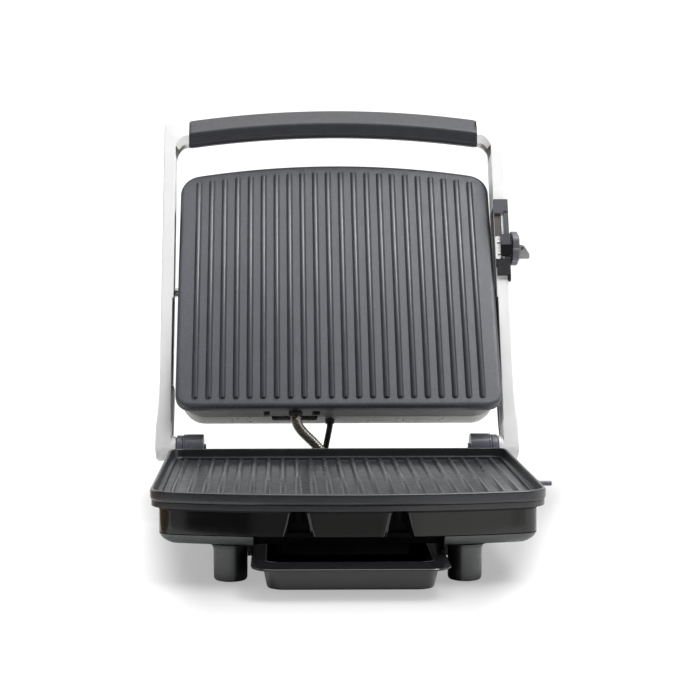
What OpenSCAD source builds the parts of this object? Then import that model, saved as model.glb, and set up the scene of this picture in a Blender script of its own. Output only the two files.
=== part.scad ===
/* Panini press: a ribbed cast plate on a base, and a second one hung from a U-shaped yoke.
   Millimetres. +Z is up, the front is -Y. The origin is on the table, below the middle of the lower plate.
   It stands open, with the yoke leaning back on its stop. */

/* [Plates] */
// Width of the lower plate over its rim
lower_plate_w = 290; // [284:1:292]
// Width of the upper plate
upper_plate_w = 283; // [280:1:286]
// Depth of both plates, from the straight rear edge to the middle of the bowed front edge
plate_d = 248; // [244:1:250]
// Distance between neighbouring grill ribs
rib_pitch = 11.84; // [11:0.02:12]
// Height of a grill rib above its plate
rib_h = 2.3; // [1.5:0.1:2.6]

/* [Base] */
// Height of the lower plate's rim above the table
rim_top_z = 69.4; // [69:0.1:70]
// Height of the base's underside above the table
underside_z = 28; // [27:0.5:29]
// Diameter of a foot
foot_d = 25; // [22:0.5:26]

/* [Yoke] */
// Height of the main hinge above the table
hinge_z = 66.5; // [66:0.5:67]
// Distance of the main hinge behind the middle of the base
hinge_y = 145; // [144:0.5:147]
// Lean of the open yoke from upright, in degrees
arm_lean = 21.5; // [21:0.1:22]
// Width of the grip between the yoke's corners
grip_w = 264; // [258:1:266]

/* [Lid] */
// Lean of the open upper plate from upright, in degrees
plate_lean = 31.6; // [31:0.1:32]
// Depth of the lid behind the plate's face
lid_depth = 46; // [42:1:48]

/* [Drip tray] */
// Width over the tray's flange
tray_w = 141; // [136:1:142]
// Depth of the tray from front to back
tray_d = 132; // [120:1:134]

/* [Hidden] */

$fn = 48;
gap = 0.3;              // free space between neighbouring moulded parts
sheet_t = 2.2;          // wall of the moulded housings
silver = "#d4d4d2";
plate_grey = "#55585f";
gloss_black = "#1b1b1c";
satin_grey = "#3f4041";

// Lower plate and base, from the table upwards
rib_top_z = rim_top_z - 7.6;
pan_floor_z = rib_top_z - rib_h;
seat_z = 61;            // underside of the rim, where the plate rests on the base's flange
pan_bottom_z = 57.4;    // underside of the plate
flange_z = 56.8;        // underside of the base's flange
split_z = 37.2;          // joint between the glossy shell and the satin underside
front_bow_r = 560;      // radius of the bowed front edge
upper_bow_r = 720;
rear_r = 13;            // corner radii of the plates
front_r = 20;
wall_inset = 6.5;       // the base's wall stands this far inside the rim
deck_z = 40.5;          // web inside the shell that carries the reflector and the screw posts
screw_r = 1.5;
rear_wall_y = plate_d / 2 - wall_inset + 0.05;
tail_top_z = underside_z + 5.9; // top of the ledge behind the base
tail_y = 157;
front_foot = [86.3, -84.5];
rear_foot = [125, 138];
cable_box_top_z = 50;
drain_x = 36;
drain_y = -103;
drain_r = 4;

// Yoke: local y points behind the arm, local z along it from the hinge
boss_r = 10.75;
boss_x = [140, 158];
arm_x = [144.3, 155];
arm_front = -11;
arm_back = 19;
arm_top = 309.5;
rim_step_x = 145.3;     // the arm's inner face stands back to here in front of rim_step_y
rim_step_y = 1;
pin_r = 4;
grip_centre_z = 297.5;  // middle of the grip's ends along the arm
grip_arch = 9.8;
cover_top = 222;        // the strips that close the hollow arms end here
cover_screw_z = [90, 195];
bar_y = -1;             // rod inside the grip
bar_z = 301.5;
bar_r = 4.5;

// Lid: local y is the depth behind the plate's face, local z runs along the plate from its rear edge
lid_x = 1.2;            // the floating lid rests a little towards the right arm
lid_edge_y = 126.8;
lid_edge_z = 104.8;
pivot_depth = 20;
pivot_along = 124;
pivot_pin_r = 3.9;
plate_edge_t = 9;
frame_back = 21.4;
hose_x = -36 - lid_x;
hose_depth = 15;
lead_x = -6 - lid_x;
lead_depth = 30;

// The lid's pivot in yoke coordinates
pivot_world_y = lid_edge_y + pivot_depth * cos(plate_lean) + pivot_along * sin(plate_lean);
pivot_world_z = lid_edge_z - pivot_depth * sin(plate_lean) + pivot_along * cos(plate_lean);
pivot_arm_y = (pivot_world_y - hinge_y) * cos(arm_lean) - (pivot_world_z - hinge_z) * sin(arm_lean);
pivot_arm_z = (pivot_world_y - hinge_y) * sin(arm_lean) + (pivot_world_z - hinge_z) * cos(arm_lean);

// Lock on the right arm
lock_z = 185.2;         // knob axis along the arm
lock_low = 155;
lock_high = 227.5;
knob_r = 15.8;

// Drip tray
tray_front_y = -158;
tray_top_z = 22.6;
tray_bottom_z = 6;
tray_lip_t = 1.8;
tray_wall_x = 61.5;
tray_grip_d = 27;       // depth of the broad front lip

// Routes of the two flexible leads between lid and base
hose_route = [[-36, 137.93, 94.27], [-36, 136.62, 92.14], [-35.2, 136.5, 89.5], [-33.3, 137.4, 86],
    [-30.3, 138.8, 81.8], [-26, 140.3, 77.3], [-21, 141.5, 72.3], [-16.3, 142.3, 67], [-12.6, 142.8, 61.5],
    [-10.6, 143, 56.5], [-10.2, 143, 53], [-10.2, 143, 50.1]];
lead_route = [[-6, 151.23, 87.25], [-6, 150.18, 85.55], [-6.6, 149.8, 82], [-7.8, 149.9, 76],
    [-9.2, 150.1, 69], [-10.4, 150.3, 62.5], [-11, 150.4, 56.5], [-11.1, 150.4, 53], [-11.1, 150.4, 50.1]];
hose_r = 4.5;
lead_r = 2.6;

// ---- outlines ----

function arc(cx, cy, r, a0, a1, n = 8) =
    [for (i = [0:n]) let (a = a0 + (a1 - a0) * i / n) [cx + r * cos(a), cy + r * sin(a)]];

// A plate's outline: straight rear edge at y = 0, bowed front edge at y = d
function plate_points(w, d, bow, rr, rf, side, ends) =
    let (h = w / 2 - side,
         r1 = max(rr - side, 3),
         r2 = max(rf - side, 3),
         b = bow - ends,
         t = asin((h - r2) / (b - r2)),
         fc = d - ends - b,
         cy = fc + (b - r2) * cos(t))
    concat(arc(-h + r1, ends + r1, r1, 180, 270), arc(h - r1, ends + r1, r1, 270, 360),
           arc(h - r2, cy, r2, 0, 90 - t), arc(0, fc, b, 90 - t, 90 + t, 16),
           arc(-h + r2, cy, r2, 90 + t, 180));

function rounded_points(x0, x1, y0, y1, r, n = 6) =
    concat(arc(x0 + r, y0 + r, r, 180, 270, n), arc(x1 - r, y0 + r, r, 270, 360, n),
           arc(x1 - r, y1 - r, r, 0, 90, n), arc(x0 + r, y1 - r, r, 90, 180, n));

module lower_outline(inset)
    translate([0, plate_d / 2]) mirror([0, 1])
        polygon(plate_points(lower_plate_w, plate_d, front_bow_r, rear_r, front_r, inset, inset));

module lower_slab(z0, z1, inset)
    translate([0, 0, z0]) linear_extrude(z1 - z0) lower_outline(inset);

module upper_slab(d0, d1, side, ends)
    along_depth(d0, d1)
        polygon(plate_points(upper_plate_w, plate_d, upper_bow_r, rear_r, front_r, side, ends));

// ---- placing ----

module on_arm() translate([0, hinge_y, hinge_z]) rotate([-arm_lean, 0, 0]) children();
module on_lid() translate([lid_x, lid_edge_y, lid_edge_z]) rotate([-plate_lean, 0, 0]) children();
module along_x(x0, x1) translate([x0, 0, 0]) rotate([90, 0, 90]) linear_extrude(x1 - x0) children();
module along_depth(d0, d1) translate([0, d1, 0]) rotate([90, 0, 0]) linear_extrude(d1 - d0) children();
module rod_x(x0, x1, r) translate([x0, 0, 0]) rotate([0, 90, 0]) cylinder(h = x1 - x0, r = r);
module both_sides() for (s = [0, 1]) mirror([s, 0, 0]) children();
module block(lo, hi) translate(lo) cube(hi - lo);

// ---- swept solids ----

// Joins rings of points, all of the same count, into one closed solid
module skin(rings) {
    n = len(rings[0]);
    m = len(rings);
    polyhedron(
        points = [for (ring = rings) for (p = ring) p],
        faces = concat([[for (j = [0:n - 1]) j]],
            [for (i = [0:m - 2]) for (j = [0:n - 1])
                [i * n + j, (i + 1) * n + j, (i + 1) * n + (j + 1) % n, i * n + (j + 1) % n]],
            [[for (j = [n - 1:-1:0]) (m - 1) * n + j]]));
}

function unit(v) = v / norm(v);
// Tangent of a route at point i
function heading(route, i) = unit(route[min(i + 1, len(route) - 1)] - route[max(i - 1, 0)]);
// Ring of points round a route, with X as the reference direction
function tube_ring(p, t, r, n) =
    let (u = unit(cross(t, [1, 0, 0])), v = cross(t, u))
    [for (k = [0:n - 1]) p + r * cos(360 * k / n) * u + r * sin(360 * k / n) * v];
module tube(route, r, n) skin([for (i = [0:len(route) - 1]) tube_ring(route[i], heading(route, i), r, n)]);

// ---- base ----

module base_shell() color(gloss_black) {
    shell_walls();
    deck();
}

module shell_walls() difference() {
    union() {
        lower_slab(split_z, flange_z + 1, wall_inset);
        lower_slab(flange_z, seat_z, 1);
    }
    lower_slab(split_z - 1, 55, wall_inset + sheet_t);
    lower_slab(54, seat_z + 1, 12);
    lower_slab(pan_bottom_z - 0.1, seat_z + 1, 4.1);
    both_sides() drain_notch();
    block([-8.2, 110, 42.7], [8.2, 120, 48]);
}

// Web across the shell, with a post over each front foot for its screw
module deck() difference() {
    union() {
        lower_slab(deck_z, deck_z + 2, wall_inset + sheet_t - 0.1);
        at_front_feet() translate([0, 0, underside_z + 4.3])
            cylinder(h = deck_z - underside_z - 4, r = 4.5);
    }
    tray_bay(20);
    at_front_feet() translate([0, 0, underside_z]) cylinder(h = 10, r = screw_r + 0.05);
}

// Cut-out over the front of the drip tray
module tray_bay(h) translate([0, 0, underside_z - 1]) linear_extrude(h)
    polygon(rounded_points(-69, 69, -150, -92, 6));

module at_front_feet() for (s = [-1, 1]) translate([s * front_foot.x, front_foot.y, 0]) children();
module at_feet() {
    at_front_feet() children();
    for (s = [-1, 1]) translate([s * rear_foot.x, rear_foot.y, 0]) children();
}

// Tapered notch in the front wall, beside the middle panel, that a drain spout stands in
module drain_notch()
    translate([0, -60, 0]) rotate([90, 0, 0]) linear_extrude(70)
        polygon([[28.5, split_z - 1], [46, split_z - 1], [41, 55.5], [31.5, 55.5]]);

module base_bottom() color(satin_grey) {
    difference() {
        union() {
            hull() {
                lower_slab(split_z - 1.2, split_z - gap, wall_inset);
                lower_slab(underside_z + 3, split_z - 1, wall_inset + 2);
                lower_slab(underside_z, underside_z + 1, wall_inset + 9);
            }
            rear_ledge();
        }
        hull() {
            lower_slab(split_z - 1, split_z + 1, wall_inset + sheet_t);
            lower_slab(underside_z + 2.4, underside_z + 4, wall_inset + 9);
        }
        tray_bay(8);
        at_feet() cylinder(h = 40, r = screw_r + 0.2);
        for (x = [-60:12:60], y = [10, 50])
            block([x - 2, y - 14, underside_z - 1], [x + 2, y + 14, underside_z + 3]);
    }
    at_feet() foot();
    both_sides() tray_rail();
}

// Ledge behind the base that carries the hinge brackets and the rear feet
module rear_ledge() translate([0, 0, underside_z]) linear_extrude(tail_top_z - underside_z)
    polygon(rounded_points(-138, 138, 109, tail_y, 6));

module foot() difference() {
    union() {
        translate([0, 0, 2]) cylinder(h = underside_z + 2, r = foot_d / 2 - 0.6);
        translate([0, 0, 3.5]) cylinder(h = underside_z + 0.5, r = foot_d / 2);
    }
    translate([0, 0, 5]) cylinder(h = 40, r = screw_r + 0.2);
    translate([0, 0, -1]) cylinder(h = 5, r = 7.2);
    translate([0, 0, 3]) cylinder(h = 3, r = 3.4);
}

// Rail under each side of the tray's flange
module tray_rail()
    translate([0, -22, 0]) rotate([90, 0, 0]) linear_extrude(66)
        polygon([[71.2, underside_z + 1], [71.2, 20.5], [64.5, 20.5], [64.5, 18.4], [73.6, 18.4],
                 [73.6, underside_z + 1]]);

module foot_pads() color("#202020") at_feet() difference() {
    cylinder(h = 3.9, r = 7);
    translate([0, 0, -1]) cylinder(h = 10, r = 3.2);
}

module base_screws() color("#9a9a9a") at_feet() translate([0, 0, 4.1]) {
    cylinder(h = 1.8, r = 3);
    cylinder(h = 33, r = screw_r);
}

// One rib's cross-section, standing on y = 0
module rib_profile(h) polygon([[-2.3, -0.4], [2.3, -0.4], [1.5, h], [-1.5, h]]);

module lower_plate() color(plate_grey) {
    difference() {
        union() {
            lower_slab(seat_z + 0.05, rim_top_z, 0);
            lower_slab(pan_bottom_z, seat_z + 1, 4.4);
            both_sides() translate([drain_x, drain_y, 46]) cylinder(h = 13, r = drain_r + 2);
        }
        lower_slab(seat_z + 1.2, rim_top_z + 1, 3.4);
        lower_slab(pan_floor_z, seat_z + 2, 6.8);
        both_sides() translate([drain_x, drain_y, 40]) cylinder(h = 40, r = drain_r);
    }
    intersection() {
        difference() {
            for (i = [-11:11])
                translate([i * rib_pitch, plate_d / 2, pan_floor_z]) rotate([90, 0, 0])
                    linear_extrude(plate_d) rib_profile(rib_h);
            both_sides() translate([drain_x, drain_y, 40]) cylinder(h = 40, r = drain_r);
        }
        lower_slab(pan_floor_z - 1, rib_top_z + 1, 5);
    }
}

// Sheathed heating element: four straight runs joined by U-bends, with its two cold ends at the rear
module element() {
    for (x = [-90, -30, 30, 90])
        translate([x, 0, 0]) rotate([90, 0, 0]) cylinder(h = 140, r = 3.2, center = true);
    for (x = [-60, 60]) bend(x, -70, 180);
    bend(0, 70, 0);
    for (x = [-90, 90])
        translate([x, 82, 0]) rotate([90, 0, 0]) cylinder(h = 24, r = 2.2, center = true);
}
module bend(x, y, a) translate([x, y, 0]) rotate([0, 0, a]) rotate_extrude(angle = 180)
    translate([30, 0]) circle(r = 3.2);

module lower_heater() color("#8d8a85") translate([0, 0, pan_bottom_z - 3.3]) element();

module lower_reflector() color("#b9bcbe") difference() {
    block([-112, -88, 44], [112, 88, 50]);
    block([-111, -87, 44.8], [111, 87, 51]);
    translate([0, -20, 43]) cylinder(h = 10, r = 12);
}

module lower_thermostat() color("#c9c3b5") {
    translate([0, -20, 46]) cylinder(h = 11.2, r = 9);
    block([-7, -24, 42.8], [7, -16, 46.2]);
}

module thermal_fuse() color("#e6e2d8") translate([-50, 109, pan_bottom_z - 2.05]) rotate([0, 90, 0])
    cylinder(h = 30, r = 2);

module terminal_block() color("#dedbd0") difference() {
    block([20, 90, 30.7], [56, 104, 40.2]);
    for (x = [26, 38, 50]) translate([x, 97, 33]) cylinder(h = 20, r = 2.2);
}

// Box behind the base that the hose and the lead run down into
module rear_cable_box() color(gloss_black) difference() {
    block([-24, rear_wall_y, 34], [14, 156.6, cable_box_top_z]);
    block([-22, 116, 36], [12, 154.6, cable_box_top_z - 2]);
}

module mains_inlet_gland() color("#18181a") translate([58, rear_wall_y, 44]) rotate([-90, 0, 0])
    difference() {
    union() {
        cylinder(h = 3, r = 8);
        cylinder(h = 14, r = 5.5);
    }
    translate([0, 0, 2]) cylinder(h = 20, r = 3.4);
}

module hinge_bracket_right() color("#34363b") difference() {
    translate([0, hinge_y, hinge_z]) along_x(116, 134) union() {
        circle(r = 12.5);
        polygon([[rear_wall_y - hinge_y, 34 - hinge_z], [3, 34 - hinge_z], [12.4, -8], [12.4, 0], [-12.4, 0],
                 [-12.4, -10.5], [rear_wall_y - hinge_y, -10.5]]);
    }
    translate([0, hinge_y, hinge_z]) rod_x(110, 140, pin_r + 0.05);
    translate([rear_foot.x, rear_foot.y, 33]) cylinder(h = 5.5, r = screw_r + 0.05);
}
module hinge_bracket_left() mirror([1, 0, 0]) hinge_bracket_right();

module hinge_washers() color("#2b2d31") both_sides() translate([0, hinge_y, hinge_z]) difference() {
    rod_x(134.4, 139.6, 11.6);
    rod_x(130, 141, pin_r + 0.1);
}

module hinge_pins() color("#a8a8a8") both_sides() translate([0, hinge_y, hinge_z]) rod_x(114, 156.5, pin_r);

// Stud beside the rim, on a bracket from the base's wall
module latch_stud() color("#222326") translate([0, -46, 0]) {
    block([lower_plate_w / 2 - wall_inset + 0.1, -4, 48], [147.2, 4, 56]);
    block([145.4, -4, 48], [147.2, 4, 66.6]);
    translate([0, 0, 64.8]) rod_x(145.4, 156.4, 1.9);
}

module conduit_hose() color("#b3ada0") tube(hose_route, hose_r, 12);
module link_lead() color("#26272a") tube(lead_route, lead_r, 8);

// ---- yoke ----

// Cross-section of the grip in yoke coordinates, round its own middle
function grip_section() = [for (p = [[3, 14.6], [-3, 14.2], [-13, -2.4], [-13, -4.6], [-10, -13],
    [-7, -15], [9, -8.6], [13.5, -5.5], [16, 2], [13, 10.5], [8, 14]]) p];

// Section of the casting beside the grip, whose front runs flat into the arm's
function stub_section() = [for (p = [[3, 14.6], [-3, 14], [-10.6, 10.2], [-12.2, -2], [-12.9, -4.9], [-10, -13],
    [-7, -15], [9, -8.6], [13.5, -5.5], [16, 2], [13, 10.5], [8, 14]]) p * 0.97];

// Step in the inner face, so that the closed arm passes beside the lower plate's rim
module rim_step() block([arm_x[0] - 1, -16, 22], [rim_step_x, rim_step_y, 136]);

module yoke_arm_right() color(silver) on_arm() difference() {
    union() {
        difference() {
            along_x(arm_x[0], arm_x[1]) polygon(concat([[-boss_r, 0], [arm_front, 20]],
                arc(arm_front + 8, arm_top - 8, 8, 180, 90), arc(arm_back - 14, arm_top - 14, 14, 90, 0),
                [[arm_back, 45], [boss_r, 0]]));
            along_x(arm_x[0] - 1, arm_x[1] - 2.5)
                polygon(rounded_points(arm_front + 2.6, arm_back - 2.6, 58, cover_top + 0.4, 4));
            along_x(arm_x[0] + 2.2, arm_x[1] - 2.5)
                polygon(rounded_points(arm_front + 2.6, arm_back - 2.6, 58, 268, 4));
            rim_step();
        }
        block([arm_x[0] - 1, rim_step_y + 0.2, 12], [arm_x[0] + 0.1, 7, 56]);
        for (z = cover_screw_z) translate([0, 4, z]) rod_x(arm_x[0] + 2.4, arm_x[1] - 1, 3.2);
        rod_x(boss_x[0], boss_x[1], boss_r);
        translate([0, pivot_arm_y, pivot_arm_z]) rod_x(arm_x[0] + 0.1, arm_x[1] - 1, 7.5);
        translate([0, 1, grip_centre_z]) along_x(grip_w / 2 + gap, arm_x[0] + 1) polygon(stub_section());
    }
    for (z = cover_screw_z) translate([0, 4, z]) rod_x(146, 152, 1.15);
    rod_x(boss_x[0] - 1, 157, pin_r + 0.06);
    translate([0, pivot_arm_y, pivot_arm_z]) rod_x(140, 153, pivot_pin_r + 0.05);
    translate([0, bar_y, bar_z]) {
        rod_x(120, 148, bar_r + 0.05);
        rod_x(120, 160, 2.1);
        rod_x(153.1, 160, 3.6);
    }
}
module yoke_arm_left() mirror([1, 0, 0]) yoke_arm_right();

// Strip that closes the hollow inner side of an arm
module arm_cover_right() color("#6f7072") on_arm() difference() {
    along_x(arm_x[0] + 0.2, arm_x[0] + 2.2)
        polygon(rounded_points(arm_front + 2.8, arm_back - 2.8, 58.2, cover_top + 0.2, 3.8));
    translate([0, pivot_arm_y, pivot_arm_z]) rod_x(140, 150, 7.7);
    for (z = cover_screw_z) translate([0, 4, z]) rod_x(140, 150, 1.3);
    rim_step();
}
module arm_cover_left() mirror([1, 0, 0]) arm_cover_right();

module arm_cover_screws() color("#8c8c8c") both_sides() on_arm()
    for (z = cover_screw_z) translate([0, 4, z]) {
        rod_x(arm_x[0] - 0.2, arm_x[0] + 0.2, 2.4);
        rod_x(arm_x[0], 151, 1.1);
    }

module handle_bar() color("#9c9c9c") on_arm() translate([0, bar_y, bar_z]) difference() {
    rod_x(-147, 147, bar_r);
    both_sides() rod_x(130, 148, 1.6);
    rod_x(-128, 128, 3.4);
}

function grip_rings(n = 24) = [for (i = [0:n]) let (x = -grip_w / 2 + grip_w * i / n,
    rise = grip_arch * (1 - pow(2 * x / grip_w, 2)))
    [for (p = grip_section()) [x, p.x + 1, p.y + grip_centre_z + rise]]];

module handle_grip() color("#303236") on_arm() difference() {
    skin(grip_rings());
    translate([0, bar_y, bar_z]) rod_x(-150, 150, bar_r + 0.1);
}

module handle_end_screws() color("#9a9a9a") both_sides() on_arm() translate([0, bar_y, bar_z]) {
    rod_x(153.2, 154.7, 3.4);
    rod_x(132, 153.3, 1.5);
}

module pivot_pins() color("#a8a8a8") both_sides() on_arm()
    translate([0, pivot_arm_y, pivot_arm_z]) rod_x(129, 152.5, pivot_pin_r);

// Saddle on the right arm, with a slotted outer cheek that the slider runs in
module lock_bracket() color("#4b4d53") on_arm() difference() {
    union() {
        block([arm_x[1] + gap, -14.2, lock_low], [157, 12, lock_high]);
        block([arm_x[0], -14.2, lock_low], [157, arm_front - 0.1, lock_high]);
    }
    block([144, -15, 170], [152.6, -10, lock_high - 13.5]);
    block([154, -4.2, lock_z - 10], [160, 4.2, lock_z + 27]);
    block([144, -15, lock_low - 1], [rim_step_x, -10, lock_low + 8]);
}

module lock_guide_plate() color(silver) on_arm() difference() {
    along_depth(-13.2, arm_front - 0.1) polygon(rounded_points(arm_x[0], 149, 170.3, 192, 1.6));
    for (z = [175, 186]) translate([147.2, -20, z]) rotate([-90, 0, 0]) cylinder(h = 12, r = 0.85);
}

module lock_guide_screws() color("#77787a") on_arm()
    for (z = [175, 186]) translate([147.2, -13.9, z]) rotate([-90, 0, 0]) {
        cylinder(h = 0.6, r = 1.3);
        cylinder(h = 2.7, r = 0.8);
    }

module lock_slider() color("#5b5e64") on_arm() difference() {
    union() {
        block([149.3, -16.2, lock_z - 13], [158.9, -14.5, lock_z + 11.5]);
        block([157.3, -16.2, lock_z - 13], [158.9, 10, lock_z + 11.5]);
        block([155.6, -3.9, lock_z - 9], [158, 3.9, lock_z + 6]);
    }
    translate([0, 0, lock_z]) rod_x(150, 160, 3.06);
}

module lock_axle() color("#a8a8a8") on_arm() translate([0, 0, lock_z]) rod_x(156.2, 160.4, 3);

// Stepped cam disc with a finger grip
module lock_knob() color("#55585f") on_arm() translate([0, 0, lock_z]) {
    difference() {
        union() {
            rod_x(159.2, 166.2, knob_r - 2.4);
            for (a = [0:60:300]) rotate([a, 0, 0]) translate([0, 0, knob_r - 5.2]) rod_x(159.2, 166.2, 5);
        }
        rod_x(158, 160.9, 3.06);
    }
    along_x_taper();
}
// Finger grip of the knob, chamfered at its outer end
module along_x_taper()
    translate([0, -11, 0]) rotate([-90, 0, 0]) linear_extrude(22)
        polygon([[166, -3.4], [168.5, -3.4], [170.8, -2.2], [175.2, 4.6], [175.2, 8.6], [173.8, 9.2], [166, 9.2]]);

// ---- lid ----

module upper_plate() color("#6b6e75") on_lid() {
    difference() {
        upper_slab(0, plate_edge_t, 0, 0);
        upper_slab(3.6, plate_edge_t + 1, 4, 4);
    }
    intersection() {
        for (i = [-11:10])
            translate([(i + 0.5) * rib_pitch, 0, 0]) linear_extrude(plate_d)
                mirror([0, 1]) rib_profile(rib_h);
        upper_slab(-rib_h - 1, 1, 8, 8);
    }
}

module lid_frame() color("#8f9092") on_lid() difference() {
    upper_slab(plate_edge_t + 0.2, frame_back, 3, 1);
    upper_slab(plate_edge_t - 1, frame_back + 1, 5.4, 3.4);
    translate([hose_x, hose_depth, -1]) cylinder(h = 8, r = 6.2);
    both_sides() translate([0, pivot_depth, pivot_along]) rod_x(130, 150, 5);
}

module cover_shell() on_lid() difference() {
    hull() {
        upper_slab(frame_back + 0.4, frame_back + 1, 3.6, 1);
        upper_slab(lid_depth - 13, lid_depth - 12, 10, 2);
        upper_slab(lid_depth - 1, lid_depth, 24, 14);
    }
    hull() {
        upper_slab(frame_back - 1, frame_back + 1, 5.8, 3.2);
        upper_slab(lid_depth - 13, lid_depth - 12, 12.2, 4.2);
        upper_slab(lid_depth - 3.2, lid_depth - 2.4, 26, 16);
    }
    upper_slab(lid_depth - 0.6, lid_depth + 1, 32, 24);
    block([-58, frame_back - 1, -1], [-18, lid_depth - 16, 5]);
    translate([lead_x, lead_depth, -1]) cylinder(h = 8, r = 4.2);
    at_lenses() cylinder(h = 8, r = 3.6);
    both_sides() translate([0, pivot_depth, pivot_along]) rod_x(130, 150, 5);
}

module lid_cover() color(silver) {
    cover_shell();
    on_lid() at_posts() difference() {
        translate([0, 16.1, 0]) rotate([-90, 0, 0]) cylinder(h = lid_depth - 18, r = 4);
        translate([0, 15, 0]) rotate([-90, 0, 0]) cylinder(h = 18, r = screw_r + 0.05);
    }
}
module at_lenses() for (x = [-9, 9]) translate([x, lid_depth - 4, plate_d - 30]) rotate([-90, 0, 0]) children();
module at_posts() for (x = [-100, 100], z = [50, 200]) translate([x, 0, z]) children();

module lid_top_panel() color("#b8b9ba") on_lid() difference() {
    upper_slab(lid_depth - 0.5, lid_depth + 0.3, 32.4, 24.4);
    at_lenses() cylinder(h = 8, r = 3.6);
}

module pivot_bushes() color("#d8d4c4") on_lid() both_sides() translate([0, pivot_depth, pivot_along])
    difference() {
        union() {
            rod_x(127, 133, 7);
            rod_x(132.5, 138.4, 4.8);
        }
        rod_x(126, 140, pivot_pin_r + 0.06);
    }

module upper_heater() color("#8d8a85") on_lid()
    translate([0, 3.6 + 3.3, plate_d / 2]) rotate([-90, 0, 0]) element();

module upper_reflector() color("#b9bcbe") on_lid() difference() {
    block([-112, 10.6, 32], [112, 16, 216]);
    block([-111, 9, 33], [111, 15.2, 215]);
    translate([0, 9, 100]) rotate([-90, 0, 0]) cylinder(h = 10, r = 12);
    at_posts() translate([0, 9, 0]) rotate([-90, 0, 0]) cylinder(h = 10, r = screw_r + 0.2);
}

module upper_thermostat() color("#c9c3b5") on_lid() {
    translate([0, 4, 100]) rotate([-90, 0, 0]) cylinder(h = 13, r = 9);
    block([-7, 16.9, 92], [7, 22, 108]);
}

module lid_grommets() color("#2a2a2c") on_lid() {
    translate([hose_x, hose_depth, -3]) difference() {
        union() {
            cylinder(h = 8, r = 6);
            cylinder(h = 3, r = 7);
        }
        translate([0, 0, 3]) cylinder(h = 8, r = hose_r);
    }
    translate([lead_x, lead_depth, -2]) difference() {
        cylinder(h = 6, r = 4);
        translate([0, 0, 2]) cylinder(h = 8, r = lead_r);
    }
}

// Screws that hold the reflector and frame to the cover's posts
module lid_screws() color("#8c8c8c") on_lid() at_posts() translate([0, 13.6, 0]) rotate([-90, 0, 0]) {
    cylinder(h = 1.5, r = 3);
    cylinder(h = 14, r = screw_r);
}

module indicator_lenses() color("#b02a22") on_lid() at_lenses() translate([0, 0, 1]) cylinder(h = 4.4, r = 3.4);

// ---- drip tray ----

module drip_tray() color(gloss_black) difference() {
    union() {
        translate([0, 0, tray_top_z - tray_lip_t]) linear_extrude(tray_lip_t)
            polygon(rounded_points(-tray_w / 2, tray_w / 2, tray_front_y, tray_front_y + tray_d, 9));
        hull() {
            translate([0, 0, tray_top_z - 1.5]) linear_extrude(1)
                polygon(rounded_points(-tray_wall_x, tray_wall_x, tray_front_y + 5,
                                       tray_front_y + tray_d - 6, 8));
            translate([0, 0, tray_bottom_z]) linear_extrude(1)
                polygon(rounded_points(-tray_wall_x + 3, tray_wall_x - 3, tray_front_y + 9,
                                       tray_front_y + tray_d - 10, 8));
        }
    }
    hull() {
        translate([0, 0, tray_top_z]) linear_extrude(1)
            polygon(rounded_points(-tray_wall_x + 2, tray_wall_x - 2, tray_front_y + tray_grip_d,
                                   tray_front_y + tray_d - 8, 7));
        translate([0, 0, tray_bottom_z + 2]) linear_extrude(1)
            polygon(rounded_points(-tray_wall_x + 5, tray_wall_x - 5, tray_front_y + tray_grip_d + 2,
                                   tray_front_y + tray_d - 12, 7));
    }
}

base_shell();
base_bottom();
foot_pads();
base_screws();
lower_plate();
lower_heater();
lower_reflector();
lower_thermostat();
thermal_fuse();
terminal_block();
rear_cable_box();
mains_inlet_gland();
hinge_bracket_left();
hinge_bracket_right();
hinge_washers();
hinge_pins();
latch_stud();
conduit_hose();
link_lead();
yoke_arm_left();
yoke_arm_right();
arm_cover_left();
arm_cover_right();
arm_cover_screws();
handle_bar();
handle_grip();
handle_end_screws();
pivot_pins();
lock_bracket();
lock_guide_plate();
lock_guide_screws();
lock_slider();
lock_axle();
lock_knob();
upper_plate();
lid_frame();
lid_cover();
lid_top_panel();
pivot_bushes();
upper_heater();
upper_reflector();
upper_thermostat();
lid_grommets();
lid_screws();
indicator_lenses();
drip_tray();
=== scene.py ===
"""Looks of an open panini press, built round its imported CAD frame.

Lengths inside the shape functions are millimetres; add_piece() turns them into metres.
World frame: +X to the lock's side, -Y to the front, +Z up. ARM and LID are the two leaning frames:
their local y points behind the part and their local z runs along it.
"""

from math import asin, copysign, cos, degrees, pi, radians, sin, sqrt

import bmesh
import bpy
from mathutils import Matrix, Vector


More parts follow.
